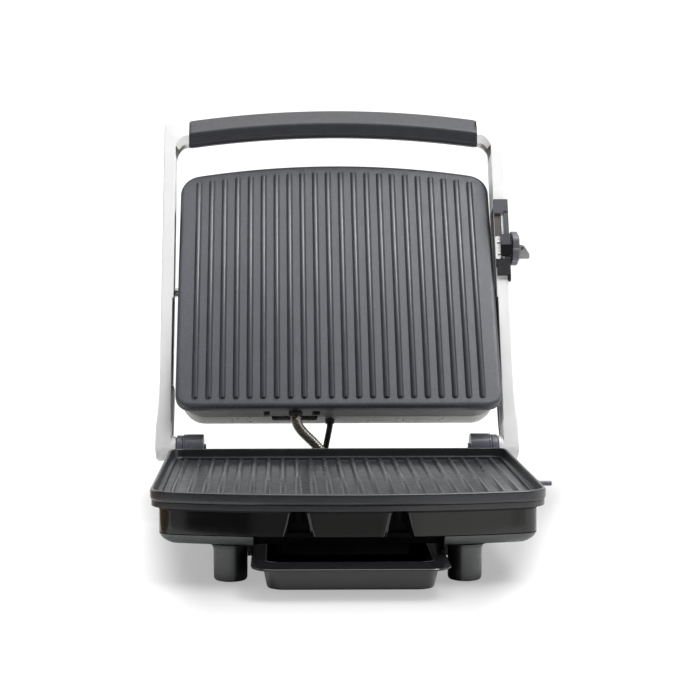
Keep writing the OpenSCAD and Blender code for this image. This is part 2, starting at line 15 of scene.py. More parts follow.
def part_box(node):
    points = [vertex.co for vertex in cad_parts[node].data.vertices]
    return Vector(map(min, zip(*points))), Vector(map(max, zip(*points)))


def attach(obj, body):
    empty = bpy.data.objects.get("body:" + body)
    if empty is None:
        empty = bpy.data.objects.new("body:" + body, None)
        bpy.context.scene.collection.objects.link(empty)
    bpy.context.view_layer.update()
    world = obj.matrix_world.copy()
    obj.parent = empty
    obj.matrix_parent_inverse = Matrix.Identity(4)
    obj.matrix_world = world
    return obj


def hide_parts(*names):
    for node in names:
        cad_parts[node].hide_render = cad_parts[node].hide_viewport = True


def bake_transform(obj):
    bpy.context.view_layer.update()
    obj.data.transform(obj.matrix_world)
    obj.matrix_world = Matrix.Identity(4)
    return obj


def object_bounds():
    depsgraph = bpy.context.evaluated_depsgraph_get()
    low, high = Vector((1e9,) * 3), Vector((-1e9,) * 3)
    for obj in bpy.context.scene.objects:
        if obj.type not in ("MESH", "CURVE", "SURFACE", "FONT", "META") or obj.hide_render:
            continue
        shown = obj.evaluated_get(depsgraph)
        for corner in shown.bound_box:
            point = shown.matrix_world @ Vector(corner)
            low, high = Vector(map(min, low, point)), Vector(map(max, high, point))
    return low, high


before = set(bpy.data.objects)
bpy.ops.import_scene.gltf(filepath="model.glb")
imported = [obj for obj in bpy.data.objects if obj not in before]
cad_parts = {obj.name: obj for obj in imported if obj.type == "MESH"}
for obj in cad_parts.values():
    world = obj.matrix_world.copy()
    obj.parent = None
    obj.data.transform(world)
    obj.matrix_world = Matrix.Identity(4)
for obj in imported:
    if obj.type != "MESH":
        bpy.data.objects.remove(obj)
cad_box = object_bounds()
scene = bpy.context.scene

MM = 0.001

# ---- camera

CAMERA_AT = (-0.0488, -1.297, 0.2616)
CAMERA_PITCH = 4.33  # degrees below the horizon
CAMERA_ROLL = -0.2
CAMERA_LENS = 85.58
CAMERA_SHIFT = 0.099


def make_camera():
    data = bpy.data.cameras.new("camera")
    cam = bpy.data.objects.new("camera", data)
    scene.collection.objects.link(cam)
    data.sensor_width = 36
    data.lens = CAMERA_LENS
    data.shift_x = CAMERA_SHIFT
    data.clip_start = 0.05
    data.clip_end = 60
    look = Matrix.Rotation(radians(90 - CAMERA_PITCH), 4, "X") @ Matrix.Rotation(radians(CAMERA_ROLL), 4, "Z")
    cam.matrix_world = Matrix.Translation(CAMERA_AT) @ look
    scene.camera = cam


make_camera()

# ---- sizes, from the CAD frame


def mm_box(node):
    lo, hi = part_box(node)
    return lo / MM, hi / MM


plate_lo, plate_hi = mm_box("lower_plate")
LOWER_W = plate_hi.x - plate_lo.x
PLATE_D = 248.0
RIM_TOP = plate_hi.z
RIB_H = 2.3
RIB_PITCH = 11.84
PAN_FLOOR = RIM_TOP - 7.6 - RIB_H
PAN_BOTTOM = 57.4
SEAT = 61.0  # height of the lower plate's outer flange
LOWER_BOW, UPPER_BOW = 560.0, 720.0  # radii of the bowed front edges
REAR_R, FRONT_R, HOUSING_R = 13.0, 20.0, 25.0  # corner radii
DRAIN_X, DRAIN_Y, DRAIN_R = 36, -103, 4  # the two drain holes near the lower plate's front
upper_lo, upper_hi = mm_box("upper_plate")
UPPER_W = upper_hi.x - upper_lo.x
LID_X = (upper_hi.x + upper_lo.x) / 2  # the floating lid rests a little to one side
SPLIT = 37.2  # joint between the glossy wall and the satin underside
UNDERSIDE = 28.0
LEDGE_FROM, FLANGE_FROM = 54.8, 57.1  # heights where the wall's colour changes: painted shade under the rim, the plate's coating above
NOTCH_X, NOTCH_SPAN = 36.2, 62  # middles of the two notches in the front wall, and the half width redrawn for them
NOTCH_HALF, NOTCH_TAPER, NOTCH_TOP = 8.4, 3.9, 55.5
NOTCH_ROUND, NOTCH_DEPTH = 3.4, 9

HINGE = Vector((0, 145, 66.5))
ARM_LEAN, PLATE_LEAN = 21.5, 31.6  # degrees back from upright
LID_AT = (LID_X, 126.8, 104.8)
ARM = Matrix.Translation(HINGE) @ Matrix.Rotation(radians(-ARM_LEAN), 4, "X")
LID = Matrix.Translation(LID_AT) @ Matrix.Rotation(radians(-PLATE_LEAN), 4, "X")
DOME_REACH = cad_box[1][1] / MM - LID_AT[1] - 0.1  # how far behind the lid's own origin its dome may end
PIVOT_Y, PIVOT_Z = 20, 124  # the lid's pivot pins, in the lid's frame
LENS_X = 9
LOCK_Z = 185.2
BRACKET_X = (155.25, 157)  # the lock bracket's plate on the arm's outer side
BRACKET_LOW, BRACKET_SPLIT, BRACKET_HIGH = 155.0, 170.0, 227.5
GRIP_W = mm_box("handle_grip")[1].x * 2
GRIP_Z, GRIP_ARCH = 297.5, 9.8
ARM_IN, ARM_OUT = 144.3, 155.0
COVER_TOP, COVER_SCREWS = 222.0, (90, 195)
STEP_X, STEP_Y = 145.3, 1.0
CORNER_Z = 272  # where the arm starts to turn towards the grip
END_SCREW = (-1, 301.5)  # local y and z of the screws at the grip's ends
PIVOT = ARM.inverted() @ (LID @ Vector((0, PIVOT_Y, PIVOT_Z)))
FRONT_FOOT, REAR_FOOT = (86.3, -84.5), (125.0, 138.0)

# ---- outlines


def arc(cx, cy, r, a0, a1, n):
    steps = [radians(a0 + (a1 - a0) * i / n) for i in range(n + 1)]
    return [(cx + r * cos(a), cy + r * sin(a)) for a in steps]


def plate_outline(width, bow, side, ends, rear=REAR_R, n=9, m=40):
    """Straight rear edge at y = 0 and bowed front edge at y = PLATE_D, set in by side and ends."""
    h = width / 2 - side
    r1, r2, b = max(rear - side, 3), max(FRONT_R - side, 3), bow - ends
    t = degrees(asin((h - r2) / (b - r2)))
    fc = PLATE_D - ends - b
    cy = fc + (b - r2) * cos(radians(t))
    return (
        arc(-h + r1, ends + r1, r1, 180, 270, n)
        + arc(h - r1, ends + r1, r1, 270, 360, n)
        + arc(h - r2, cy, r2, 0, 90 - t, n)
        + arc(0, fc, b, 90 - t, 90 + t, m)[1:-1]
        + arc(-h + r2, cy, r2, 90 + t, 180, n)
    )


def lower_ring(inset, z):
    return [(x, PLATE_D / 2 - y, z) for x, y in plate_outline(LOWER_W, LOWER_BOW, inset, inset)]


def upper_ring(side, ends, depth, rear=REAR_R):
    return [(x, depth, v) for x, v in plate_outline(UPPER_W, UPPER_BOW, side, ends, rear)]


def span(points, x):
    """Where the line at that x crosses an outline."""
    hits = []
    for (x0, y0), (x1, y1) in zip(points, points[1:] + points[:1]):
        if (x0 - x) * (x1 - x) < 0:
            hits.append(y0 + (y1 - y0) * (x - x0) / (x1 - x0))
    return min(hits), max(hits)


def rounded_rect(x0, x1, y0, y1, r, n=6):
    return (
        arc(x0 + r, y0 + r, r, 180, 270, n)
        + arc(x1 - r, y0 + r, r, 270, 360, n)
        + arc(x1 - r, y1 - r, r, 0, 90, n)
        + arc(x0 + r, y1 - r, r, 90, 180, n)
    )


def round_corners(points, radius, n=3):
    """A polygon with each corner cut back to a small curve."""
    out = []
    count = len(points)
    for i, p in enumerate(points):
        p, a, b = Vector(p), Vector(points[i - 1]), Vector(points[(i + 1) % count])
        r = min(radius, (a - p).length * 0.4, (b - p).length * 0.4)
        s, e = p + (a - p).normalized() * r, p + (b - p).normalized() * r
        for k in range(n + 1):
            t = k / n
            out.append(tuple(s * (1 - t) ** 2 + p * 2 * t * (1 - t) + e * t * t))
    return out


# ---- mesh building


def loft(bm, rings, closed=False):
    """Joins rings of points into one solid. With closed, the last ring meets the first."""
    rows = [[bm.verts.new(p) for p in ring] for ring in rings]
    n = len(rows[0])
    pairs = list(zip(rows, rows[1:] + rows[:1] if closed else rows[1:]))
    for a, b in pairs:
        for i in range(n):
            j = (i + 1) % n
            bm.faces.new((a[i], a[j], b[j], b[i]))
    if not closed:
        bm.faces.new(rows[0][::-1])
        bm.faces.new(rows[-1])


def to_axis(axis, p, t):
    """Puts a 2-D point and a place along an axis into 3-D."""
    return {"X": (t, p[0], p[1]), "Y": (p[0], t, p[1]), "Z": (p[0], p[1], t)}[axis]


def prism(bm, points, axis, a, b, bevel=0.6, segments=2):
    """A polygon extruded along an axis, with all its edges rounded."""
    part = bmesh.new()
    loft(part, [[to_axis(axis, p, t) for p in points] for t in (a, b)])
    if bevel:
        edges = [e for e in part.edges if e.calc_face_angle(0) > radians(20)]
        bmesh.ops.bevel(part, geom=edges, offset=bevel, segments=segments, profile=0.5, affect="EDGES",
                        clamp_overlap=True)
    merge(bm, part)


def merge(bm, part):
    data = bpy.data.meshes.new("part")
    part.to_mesh(data)
    part.free()
    bm.from_mesh(data)
    bpy.data.meshes.remove(data)


def block(bm, lo, hi, bevel=0.6, segments=2):
    prism(bm, [(lo[0], lo[1]), (hi[0], lo[1]), (hi[0], hi[1]), (lo[0], hi[1])], "Z", lo[2], hi[2], bevel, segments)


def lathe(bm, axis, centre, profile, n=40):
    """Turns (place along the axis, radius) pairs round an axis through centre."""
    rings = []
    for t, r in profile:
        circle = [(r * cos(2 * pi * k / n), r * sin(2 * pi * k / n)) for k in range(n)]
        rings.append([Vector(to_axis(axis, p, t)) + Vector(centre) for p in circle])
    loft(bm, rings)


def disc(a, b, r, bevel=0.5):
    """Profile of a disc from a to b with softened edges."""
    k = bevel * 0.3
    return [(a, r - bevel), (a + k, r - k), (a + bevel, r), (b - bevel, r), (b - k, r - k), (b, r - bevel)]


def catmull(points, per=12):
    """A smooth curve through the points."""
    p = [Vector(q) for q in points]
    p = [p[0] * 2 - p[1]] + p + [p[-1] * 2 - p[-2]]
    out = []
    for i in range(1, len(p) - 2):
        for k in range(per):
            t = k / per
            a, b, c, d = p[i - 1], p[i], p[i + 1], p[i + 2]
            out.append(0.5 * (2 * b + (c - a) * t + (2 * a - 5 * b + 4 * c - d) * t * t
                              + (3 * b - a - 3 * c + d) * t ** 3))
    return out + [p[-2]]


def resample(path, step):
    """Points a fixed step apart along a path."""
    out, left = [path[0].copy()], step
    for a, b in zip(path, path[1:]):
        length = (b - a).length
        at = left
        while at < length:
            out.append(a.lerp(b, at / length))
            at += step
        left = at - length
    return out + [path[-1].copy()] if (out[-1] - path[-1]).length > step * 0.3 else out


def tube(bm, path, radius, n=16):
    """A pipe along a path. radius(distance, angle) gives its surface."""
    rings, along = [], 0.0
    side = None
    for i, p in enumerate(path):
        t = (path[min(i + 1, len(path) - 1)] - path[max(i - 1, 0)]).normalized()
        side = (Vector((1, 0, 0)).cross(t) if side is None else side - t * side.dot(t)).normalized()
        other = t.cross(side)
        if i:
            along += (p - path[i - 1]).length
        ring = []
        for k in range(n):
            a = 2 * pi * k / n
            ring.append(p + (side * cos(a) + other * sin(a)) * radius(along, a))
        rings.append(ring)
    loft(bm, rings)


def new_object(name, bm):
    """Links an object made of that mesh, and frees the mesh."""
    data = bpy.data.meshes.new(name)
    bm.to_mesh(data)
    bm.free()
    obj = bpy.data.objects.new(name, data)
    scene.collection.objects.link(obj)
    return obj


def clean(bm):
    bmesh.ops.remove_doubles(bm, verts=bm.verts, dist=1e-4)
    bmesh.ops.recalc_face_normals(bm, faces=bm.faces)


def add_piece(name, build, body, material, replaces=(), place=None, angle=35, weighted=True, mirror=False):
    """Makes one object from a build(bm) function that works in millimetres, and lets it ride."""
    bm = bmesh.new()
    build(bm)
    if mirror:
        bmesh.ops.scale(bm, vec=(-1, 1, 1), verts=bm.verts)
    clean(bm)
    bmesh.ops.transform(bm, matrix=Matrix.Scale(MM, 4) @ (place or Matrix.Identity(4)), verts=bm.verts)
    obj = new_object(name, bm)
    obj.data.materials.append(material)
    obj.data.shade_smooth()
    obj.data.set_sharp_from_angle(angle=radians(angle))
    if weighted:
        normals = obj.modifiers.new("normals", "WEIGHTED_NORMAL")
        normals.keep_sharp = True
        normals.weight = 80
    if replaces:
        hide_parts(*replaces)
    if body:
        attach(obj, body)
    return obj


def carve(build, cutters):
    """Returns a build function whose result has the cutters' volumes taken away."""

    def carved(bm):
        temp = []
        for made in (build, cutters):
            part = bmesh.new()
            made(part)
            clean(part)
            temp.append(new_object("temp", part))
        cut = temp[0].modifiers.new("cut", "BOOLEAN")
        cut.operation = "DIFFERENCE"
        cut.solver = "EXACT"
        cut.use_self = True
        cut.object = temp[1]
        bpy.context.view_layer.update()
        result = temp[0].evaluated_get(bpy.context.evaluated_depsgraph_get()).to_mesh()
        bm.from_mesh(result)
        for obj in temp:
            data = obj.data
            bpy.data.objects.remove(obj)
            bpy.data.meshes.remove(data)

    return carved


# ---- materials


def map_range(tree, source, low, high, to_low=0.0, to_high=1.0, kind="LINEAR"):
    node = tree.nodes.new("ShaderNodeMapRange")
    node.interpolation_type = kind
    for socket, value in zip(("From Min", "From Max", "To Min", "To Max"), (low, high, to_low, to_high)):
        node.inputs[socket].default_value = value
    tree.links.new(source, node.inputs["Value"])
    return node.outputs["Result"]


def axis_of(tree, output, axis):
    """One axis of a texture coordinate."""
    place = tree.nodes.new("ShaderNodeTexCoord")
    split = tree.nodes.new("ShaderNodeSeparateXYZ")
    tree.links.new(place.outputs[output], split.inputs["Vector"])
    return split.outputs[axis]


def surface(name, color, roughness, mottle, grain, metallic=0.0, spread=0.06, speck=None, coat=0.0, stretch=(1, 1, 1),
            edge_wear_and_highlight=0.0, specular=0.5, transmission=0.0, painted_shade=None):
    """A principled surface with patchy colour, fine grain, uneven gloss and paler edges: edge wear, which on the ribs
    is strong enough to be a painted highlight on their tops.

    fade is (near, far, tint): painted shade, the colour turns to the tint between those distances from the middle
    plane.
    """
    mat = bpy.data.materials.new(name)
    mat.use_nodes = True
    tree = mat.node_tree
    nodes, links = tree.nodes, tree.links
    shader = nodes["Principled BSDF"]
    shader.inputs["Metallic"].default_value = metallic
    shader.inputs["Coat Weight"].default_value = coat
    shader.inputs["Coat Roughness"].default_value = 0.05
    shader.inputs["Specular IOR Level"].default_value = specular
    shader.inputs["Transmission Weight"].default_value = transmission
    place = nodes.new("ShaderNodeTexCoord")
    scale = nodes.new("ShaderNodeMapping")
    scale.inputs["Scale"].default_value = stretch
    links.new(place.outputs["Object"], scale.inputs["Vector"])

    def noise(size, detail=4.0):
        n = nodes.new("ShaderNodeTexNoise")
        n.inputs["Scale"].default_value = size
        n.inputs["Detail"].default_value = detail
        links.new(scale.outputs["Vector"], n.inputs["Vector"])
        return n.outputs["Fac"]

    def mix(factor, a, b):
        m = nodes.new("ShaderNodeMix")
        m.data_type = "RGBA"
        links.new(factor, m.inputs["Factor"])
        for socket, value in ((m.inputs[6], a), (m.inputs[7], b)):
            if isinstance(value, tuple):
                socket.default_value = (*value, 1)
            else:
                links.new(value, socket)
        return m.outputs[2]

    def ramp(source, low, high, to_low=0.0, to_high=1.0):
        return map_range(tree, source, low, high, to_low, to_high)

    dark = tuple(c * (1 - mottle[1]) for c in color)
    light = tuple(min(1, c * (1 + mottle[1])) for c in color)
    shade = mix(ramp(noise(mottle[0]), 0.3, 0.7), dark, light)
    if speck:
        size, amount, tint = speck
        shade = mix(ramp(noise(size, 2.0), 0.56, 0.70, 0.0, amount), shade, tint)
        pits = ramp(noise(size * 1.7, 2.0), 0.44, 0.30, 0.0, amount * 0.8)
        shade = mix(pits, shade, tuple(c * 0.45 for c in color))
    if edge_wear_and_highlight:
        edges = ramp(nodes.new("ShaderNodeNewGeometry").outputs["Pointiness"], 0.53, 0.62, 0.0, edge_wear_and_highlight)
        shade = mix(edges, shade, tuple(min(1, c * 2.2 + 0.03) for c in color))
    if painted_shade:
        near, far, tint = painted_shade
        width = nodes.new("ShaderNodeMath")
        width.operation = "ABSOLUTE"
        links.new(axis_of(tree, "Object", "X"), width.inputs[0])
        shade = mix(ramp(width.outputs["Value"], near * MM, far * MM), shade, tint)
    links.new(shade, shader.inputs["Base Color"])
    links.new(ramp(noise(mottle[0] * 3), 0.3, 0.7, max(0.02, roughness - spread), roughness + spread),
              shader.inputs["Roughness"])
    bump = nodes.new("ShaderNodeBump")
    bump.inputs["Strength"].default_value = grain[1]
    bump.inputs["Distance"].default_value = grain[2] * MM
    links.new(noise(grain[0], 3.0), bump.inputs["Height"])
    links.new(bump.outputs["Normal"], shader.inputs["Normal"])
    return mat


def plastic(name, color, roughness=0.42, edge_wear_and_highlight=0.2, grain=(1900, 0.25, 0.06), mottle=(90, 0.08), **more):
    """Moulded plastic with a fine spark-eroded grain."""
    return surface(name, color, roughness, mottle, grain, edge_wear_and_highlight=edge_wear_and_highlight, **more)


def coating(name, color, roughness, specular, speck=None, edge_wear_and_highlight=0.0, grain=(1500, 0.35, 0.10), spread=0.05):
    """Sprayed non-stick coating."""
    return surface(name, color, roughness, (35, 0.10), grain, spread=spread, speck=speck,
                   edge_wear_and_highlight=edge_wear_and_highlight, specular=specular)


RIB_GRAIN = (1500, 0.2, 0.06)
FOOT_SHADE_BLACK = (0.002, 0.002, 0.002)
CROOK_SHADE_BROWN = (0.10, 0.085, 0.07)

GLOSS = surface("gloss_black", (0.006, 0.0058, 0.0056), 0.08, (20, 0.15), (40, 0.02, 0.10), spread=0.02)
SATIN = surface("satin_grey", (0.075, 0.080, 0.079), 0.42, (70, 0.10), (1700, 0.25, 0.06), spread=0.05, edge_wear_and_highlight=0.15)
NONSTICK = coating("nonstick", (0.045, 0.049, 0.062), 0.44, 0.8, (1050, 0.55, (0.13, 0.14, 0.165)), 0.12)
DARK = plastic("dark_plastic", (0.062, 0.064, 0.075))
GRIP = plastic("grip_plastic", (0.030, 0.031, 0.038), 0.44, 0.15, (2200, 0.3, 0.07))
BARREL = plastic("barrel_plastic", (0.110, 0.117, 0.138), 0.33, grain=(1900, 0.15, 0.05))
SILVER = surface("silver_casting", (0.82, 0.82, 0.817), 0.42, (40, 0.02), (1500, 0.12, 0.04), metallic=0.05,
                 spread=0.05, specular=0.3)
SHELL = surface("silver_shell", (0.38, 0.378, 0.37), 0.32, (50, 0.03), (900, 0.05, 0.04), metallic=0.45)
FRAME = surface("grey_frame", (0.22, 0.216, 0.205), 0.45, (80, 0.06), (1500, 0.2, 0.05), edge_wear_and_highlight=0.1)
BRUSHED = surface("brushed_panel", (0.60, 0.60, 0.60), 0.30, (900, 0.10), (1600, 0.25, 0.05), metallic=1.0,
                  stretch=(0.02, 1, 1))
STEEL = surface("bright_steel", (0.55, 0.55, 0.54), 0.28, (120, 0.08), (900, 0.12, 0.04), metallic=1.0)
SHEATH = surface("heater_sheath", (0.26, 0.24, 0.22), 0.45, (60, 0.25), (900, 0.2, 0.05), metallic=1.0)
SHEET = surface("reflector_sheet", (0.72, 0.73, 0.74), 0.25, (60, 0.06), (500, 0.15, 0.08), metallic=1.0)
CERAMIC = surface("ceramic_body", (0.78, 0.75, 0.68), 0.6, (90, 0.05), (1400, 0.3, 0.06))
HOSE = surface("hose_braid", (0.50, 0.465, 0.41), 0.30, (200, 0.12), (1500, 0.15, 0.03), metallic=0.9)
RUBBER = surface("lead_rubber", (0.020, 0.020, 0.022), 0.55, (120, 0.1), (1800, 0.25, 0.05))
FOOT = surface("foot_rubber", (0.022, 0.022, 0.022), 0.8, (120, 0.15), (1400, 0.4, 0.08))
LENS = surface("lens_red", (0.55, 0.035, 0.02), 0.12, (60, 0.05), (300, 0.05, 0.05), coat=0.6, transmission=0.3)
# Painted shade: the lower plate and its ribs take darker copies of the non-stick coating, standing in for the shade
# they lie in.
LOW_PLATE_SHADED = coating("nonstick_lower_shaded", (0.020, 0.0215, 0.025), 0.33, 0.6, (1200, 0.4, (0.07, 0.073, 0.08)))
LOW_RIBS_SHADED = coating("nonstick_lower_ribs_shaded", (0.024, 0.026, 0.030), 0.30, 0.8, grain=RIB_GRAIN, spread=0.04)
KNOB = plastic("knob_plastic", (0.095, 0.097, 0.108))
# Painted light: the knob's fin is a much lighter copy of the knob's plastic, standing in for light on its faces.
FIN_LIT_GREY = plastic("fin_plastic_lit", (0.24, 0.24, 0.24))
BLOCK = plastic("slide_plastic", (0.042, 0.043, 0.052))
# Painted shade: a dull brownish dark for the shaded opening behind the lock.
WINDOW_SHADE = surface("window_shade_metal", (0.11, 0.10, 0.092), 0.45, (60, 0.2), (900, 0.2, 0.05), metallic=0.3)
# Painted highlight: the strong edge lightening paints a bright line along the tops of the upper plate's ribs.
RIBS = coating("nonstick_ribs", (0.040, 0.043, 0.050), 0.36, 0.8, (1500, 0.25, (0.16, 0.165, 0.18)), 0.6, RIB_GRAIN,
               0.04)
# Painted deep shade: near black for holes, recesses and sheets that stand where there is only shade.
PAINTED_DEEP_SHADE = surface("deep_shadow_plastic", (0.005, 0.005, 0.005), 0.6, (80, 0.1), (1500, 0.2, 0.05), specular=0.08)
# Near black: painted shade on the wall's band under the rim, and the colour of the tray rails.
BLACK_AND_LEDGE_SHADE = surface("black_and_ledge_shade", (0.008, 0.008, 0.009), 0.55, (80, 0.1), (1500, 0.2, 0.05), specular=0.25)
# Near-black plastic for the arm covers; on the bracket's foot it is painted shade, a darker copy of the bracket's
# plastic.
COVER_AND_SADDLE_SHADE = plastic("cover_plastic_and_saddle_shade", (0.018, 0.018, 0.021), 0.45, 0, (1900, 0.2, 0.05), (90, 0.1), specular=0.3)
# Painted shade: the feet turn black on their inner halves, towards the middle plane.
FEET = surface("feet_grey_inner_shade", (0.095, 0.100, 0.099), 0.42, (70, 0.10), (1700, 0.25, 0.06), spread=0.05,
               painted_shade=(83.6, 81.6, FOOT_SHADE_BLACK))
# Painted shade: a darker copy of the silver casting, turning brown towards the arm.
CROOK_SHADE = surface("casting_underside_shade", (0.50, 0.49, 0.47), 0.34, (40, 0.03), (1500, 0.12, 0.04), metallic=0.2,
                painted_shade=(135, 144, CROOK_SHADE_BROWN))
TRAY_GLOSS = surface("tray_black", (0.012, 0.012, 0.0135), 0.16, (20, 0.15), (40, 0.02, 0.10), spread=0.03)

# ---- the two grill plates

RIB_SHAPE = [(2.95, -0.4), (2.9, 0.0), (2.35, 0.5), (1.8, 1.25), (1.3, 1.95), (0.75, 2.25), (0.0, 2.3)]


def rib(bm, put, x, a, b, end=2.2):
    """One grill rib from a to b. put(x, along, height) places it, and its ends run down to the plate."""
    half = RIB_SHAPE + [(-w, h) for w, h in RIB_SHAPE[-2::-1]]
    stations = [(a, 0.05), (a + end * 0.25, 0.5), (a + end * 0.6, 0.86), (a + end, 1.0)]
    stations += [(b - end, 1.0), (b - end * 0.6, 0.86), (b - end * 0.25, 0.5), (b, 0.05)]
    loft(bm, [[put(x + w * (0.55 + 0.45 * k), at, h * k if h > 0 else h) for w, h in half] for at, k in stations])


def lower_plate_body(bm):
    section = [
        (12, PAN_FLOOR), (8.2, PAN_FLOOR), (7.6, PAN_FLOOR), (7.0, PAN_FLOOR + 0.25), (6.75, PAN_FLOOR + 0.9),
        (6.6, SEAT + 0.9), (6.4, SEAT + 1.15), (6.0, SEAT + 1.2), (4.4, SEAT + 1.2), (3.9, SEAT + 1.3), (3.55, SEAT + 1.8),
        (3.4, SEAT + 2.6), (3.1, RIM_TOP - 1.1), (2.8, RIM_TOP - 0.4), (2.3, RIM_TOP - 0.05), (1.7, RIM_TOP),
        (0.9, RIM_TOP - 0.25), (0.35, RIM_TOP - 0.8), (0.1, RIM_TOP - 1.6), (0.15, SEAT + 2.4), (0.5, SEAT + 1.0),
        (1.1, SEAT + 0.25), (1.9, SEAT + 0.05), (4.4, SEAT + 0.05), (4.4, PAN_BOTTOM + 0.5), (4.9, PAN_BOTTOM),
        (6.5, PAN_BOTTOM),
    ]
    loft(bm, [lower_ring(i, z) for i, z in section])


def drain_holes(bm):
    for x in (-DRAIN_X, DRAIN_X):
        lathe(bm, "Z", (x, DRAIN_Y, 0), [(50, DRAIN_R), (66, DRAIN_R)], 28)


def lower_ribs(bm):
    outline = plate_outline(LOWER_W, LOWER_BOW, 6.2, 6.2)
    for i in range(-11, 12):
        x = i * RIB_PITCH
        near, far = span(outline, x)
        if abs(i) == 3:  # these two stop short of the drain holes
            far = PLATE_D / 2 - DRAIN_Y - DRAIN_R - 1
        rib(bm, lambda u, t, h: (u, PLATE_D / 2 - t, PAN_FLOOR + h), x, near, far)


def spouts(bm):
    for x in (-DRAIN_X, DRAIN_X):
        lathe(bm, "Z", (x, DRAIN_Y, 0), [(58, 4.05), (46.4, 4.05), (46, 4.5), (46, 5.6), (46.4, 6), (58, 6)], 28)


add_piece("plate_lower", carve(lower_plate_body, drain_holes), "base", LOW_PLATE_SHADED, ["lower_plate"])
add_piece("plate_lower_ribs", lower_ribs, "base", LOW_RIBS_SHADED, ["lower_plate"], angle=60, weighted=False)
# The spouts under the drain holes are painted deep shade.
add_piece("plate_lower_spouts", spouts, "base", PAINTED_DEEP_SHADE, ["lower_plate"])


def upper_plate_body(bm):
    section = [
        (14, 0), (4.4, 0), (3.6, 0), (2.2, 0.15), (1.1, 0.6), (0.4, 1.4), (0.05, 2.6), (0, 4), (0, 8.3), (0.3, 8.8),
        (0.9, 9), (3.6, 9), (4, 8.6), (4.0, 4.0), (4.4, 3.6), (8, 3.6),
    ]
    loft(bm, [upper_ring(i, i, d) for i, d in section])


def upper_ribs(bm):
    outline = plate_outline(UPPER_W, UPPER_BOW, 8, 8)
    for i in range(-11, 11):
        x = (i + 0.5) * RIB_PITCH
        rib(bm, lambda u, t, h: (u, -h, t), x, *span(outline, x), 1.6)


add_piece("plate_upper", upper_plate_body, "lid", NONSTICK, ["upper_plate"], LID)
add_piece("plate_upper_ribs", upper_ribs, "lid", RIBS, ["upper_plate"], LID, angle=60, weighted=False)

# ---- base


def shell_ring(inset, z, groove=0.0):
    """The wall's outline, with two notches of that depth in its front."""
    base = [(x, PLATE_D / 2 - y) for x, y in plate_outline(LOWER_W, LOWER_BOW, inset, inset)]
    keep = [p for p in base if not (p[1] < 0 and abs(p[0]) < NOTCH_SPAN)]
    cut = next(i for i in range(len(keep)) if keep[i][0] > 0 and keep[i][1] < 0 and keep[(i + 1) % len(keep)][0] < 0)
    half = NOTCH_HALF - NOTCH_TAPER * (z - SPLIT) / (NOTCH_TOP - SPLIT)
    turn = NOTCH_ROUND if groove else 0.0
    path = []
    for centre, before, after in ((NOTCH_X, 56, (21, 10, 0, -10)), (-NOTCH_X, -24, (-56,))):
        lips = []
        for side in (1, -1):
            lip = []
            for n in range(6):
                a = pi / 2 * n / 5
                lip.append((centre + side * (half + NOTCH_ROUND - NOTCH_ROUND * sin(a)), turn * (1 - cos(a))))
            lips.append(lip + [(centre + side * half, groove)])
        path += [(before, 0)] + lips[0] + lips[1][::-1] + [(x, 0) for x in after]
    r = LOWER_BOW - inset
    front = [(x, LOWER_BOW - PLATE_D / 2 - sqrt(r * r - x * x) + dy, z) for x, dy in path]
    ring = [(x, y, z) for x, y in keep]
    return ring[: cut + 1] + front + ring[cut + 1 :]


def shell_walls(bm):
    section = [
        (1.2, SEAT, 0), (4.1, SEAT, 0), (4.1, 57.3, 0), (16, 57.3, 0), (16, SPLIT, 0), (9, SPLIT, NOTCH_DEPTH),
        (6.9, SPLIT, NOTCH_DEPTH), (6.5, SPLIT + 0.4, NOTCH_DEPTH), (6.5, 46, NOTCH_DEPTH), (6.5, 54.6, NOTCH_DEPTH),
        (6.3, 56.2, 0), (6.0, 56.7, 0), (5.4, 56.8, 0), (1.5, 56.8, 0), (1.1, 57.0, 0), (1.0, 57.4, 0), (1.0, SEAT - 0.3, 0),
    ]
    loft(bm, [shell_ring(i, z, g) for i, z, g in section], closed=True)


wall = add_piece("shell_wall", shell_walls, "base", GLOSS, ["base_shell"], angle=40)
for extra in (BLACK_AND_LEDGE_SHADE, PAINTED_DEEP_SHADE, LOW_PLATE_SHADED):
    wall.data.materials.append(extra)
# The band just under the rim is painted shade in near black, and the insides of the notches are painted deep shade.
for face in wall.data.polygons:
    at = face.center / MM
    if at.z > FLANGE_FROM:
        face.material_index = 3
    elif at.z > LEDGE_FROM:
        face.material_index = 1
    elif abs(at.x) < 50 and at.y > -113.9:  # inside the notches
        face.material_index = 2

BELLY = [(6.6, SPLIT - 0.3), (7.0, 35.9), (8.0, 34.3), (9.8, 32.4), (12.4, 30.7), (15.4, 29.4), (19, 28.6), (23, 28.1),
         (28, UNDERSIDE)]


def belly_body(bm):
    loft(bm, [lower_ring(9.6, SPLIT - 0.3)] + [lower_ring(i, z) for i, z in BELLY])
    ledge = rounded_rect(-138, 138, 104, 157, 6)
    prism(bm, ledge, "Z", UNDERSIDE, UNDERSIDE + 5.9, 1.2)


def belly_cuts(bm):
    prism(bm, rounded_rect(-69, 69, -150, -92, 9), "Z", 20, 48, 0)
    for x in range(-60, 61, 12):
        for y in (10, 50):
            prism(bm, rounded_rect(x - 2, x + 2, y - 14, y + 14, 1.8, 3), "Z", 26, 31, 0)


def feet(bm):
    for x, y in (FRONT_FOOT, REAR_FOOT):
        for side in (-1, 1):
            lathe(bm, "Z", (side * x, y, 0), [
                (5, 7.3), (1.2, 7.3), (0.3, 7.6), (0.3, 10.2), (0.6, 11.3), (1.4, 12.05), (2.6, 12.4), (8, 12.5),
                (22, 12.6), (24.4, 12.9), (26.2, 13.7), (27.4, 15.0), (28.1, 16.8), (28.5, 18.0),
            ], 48)


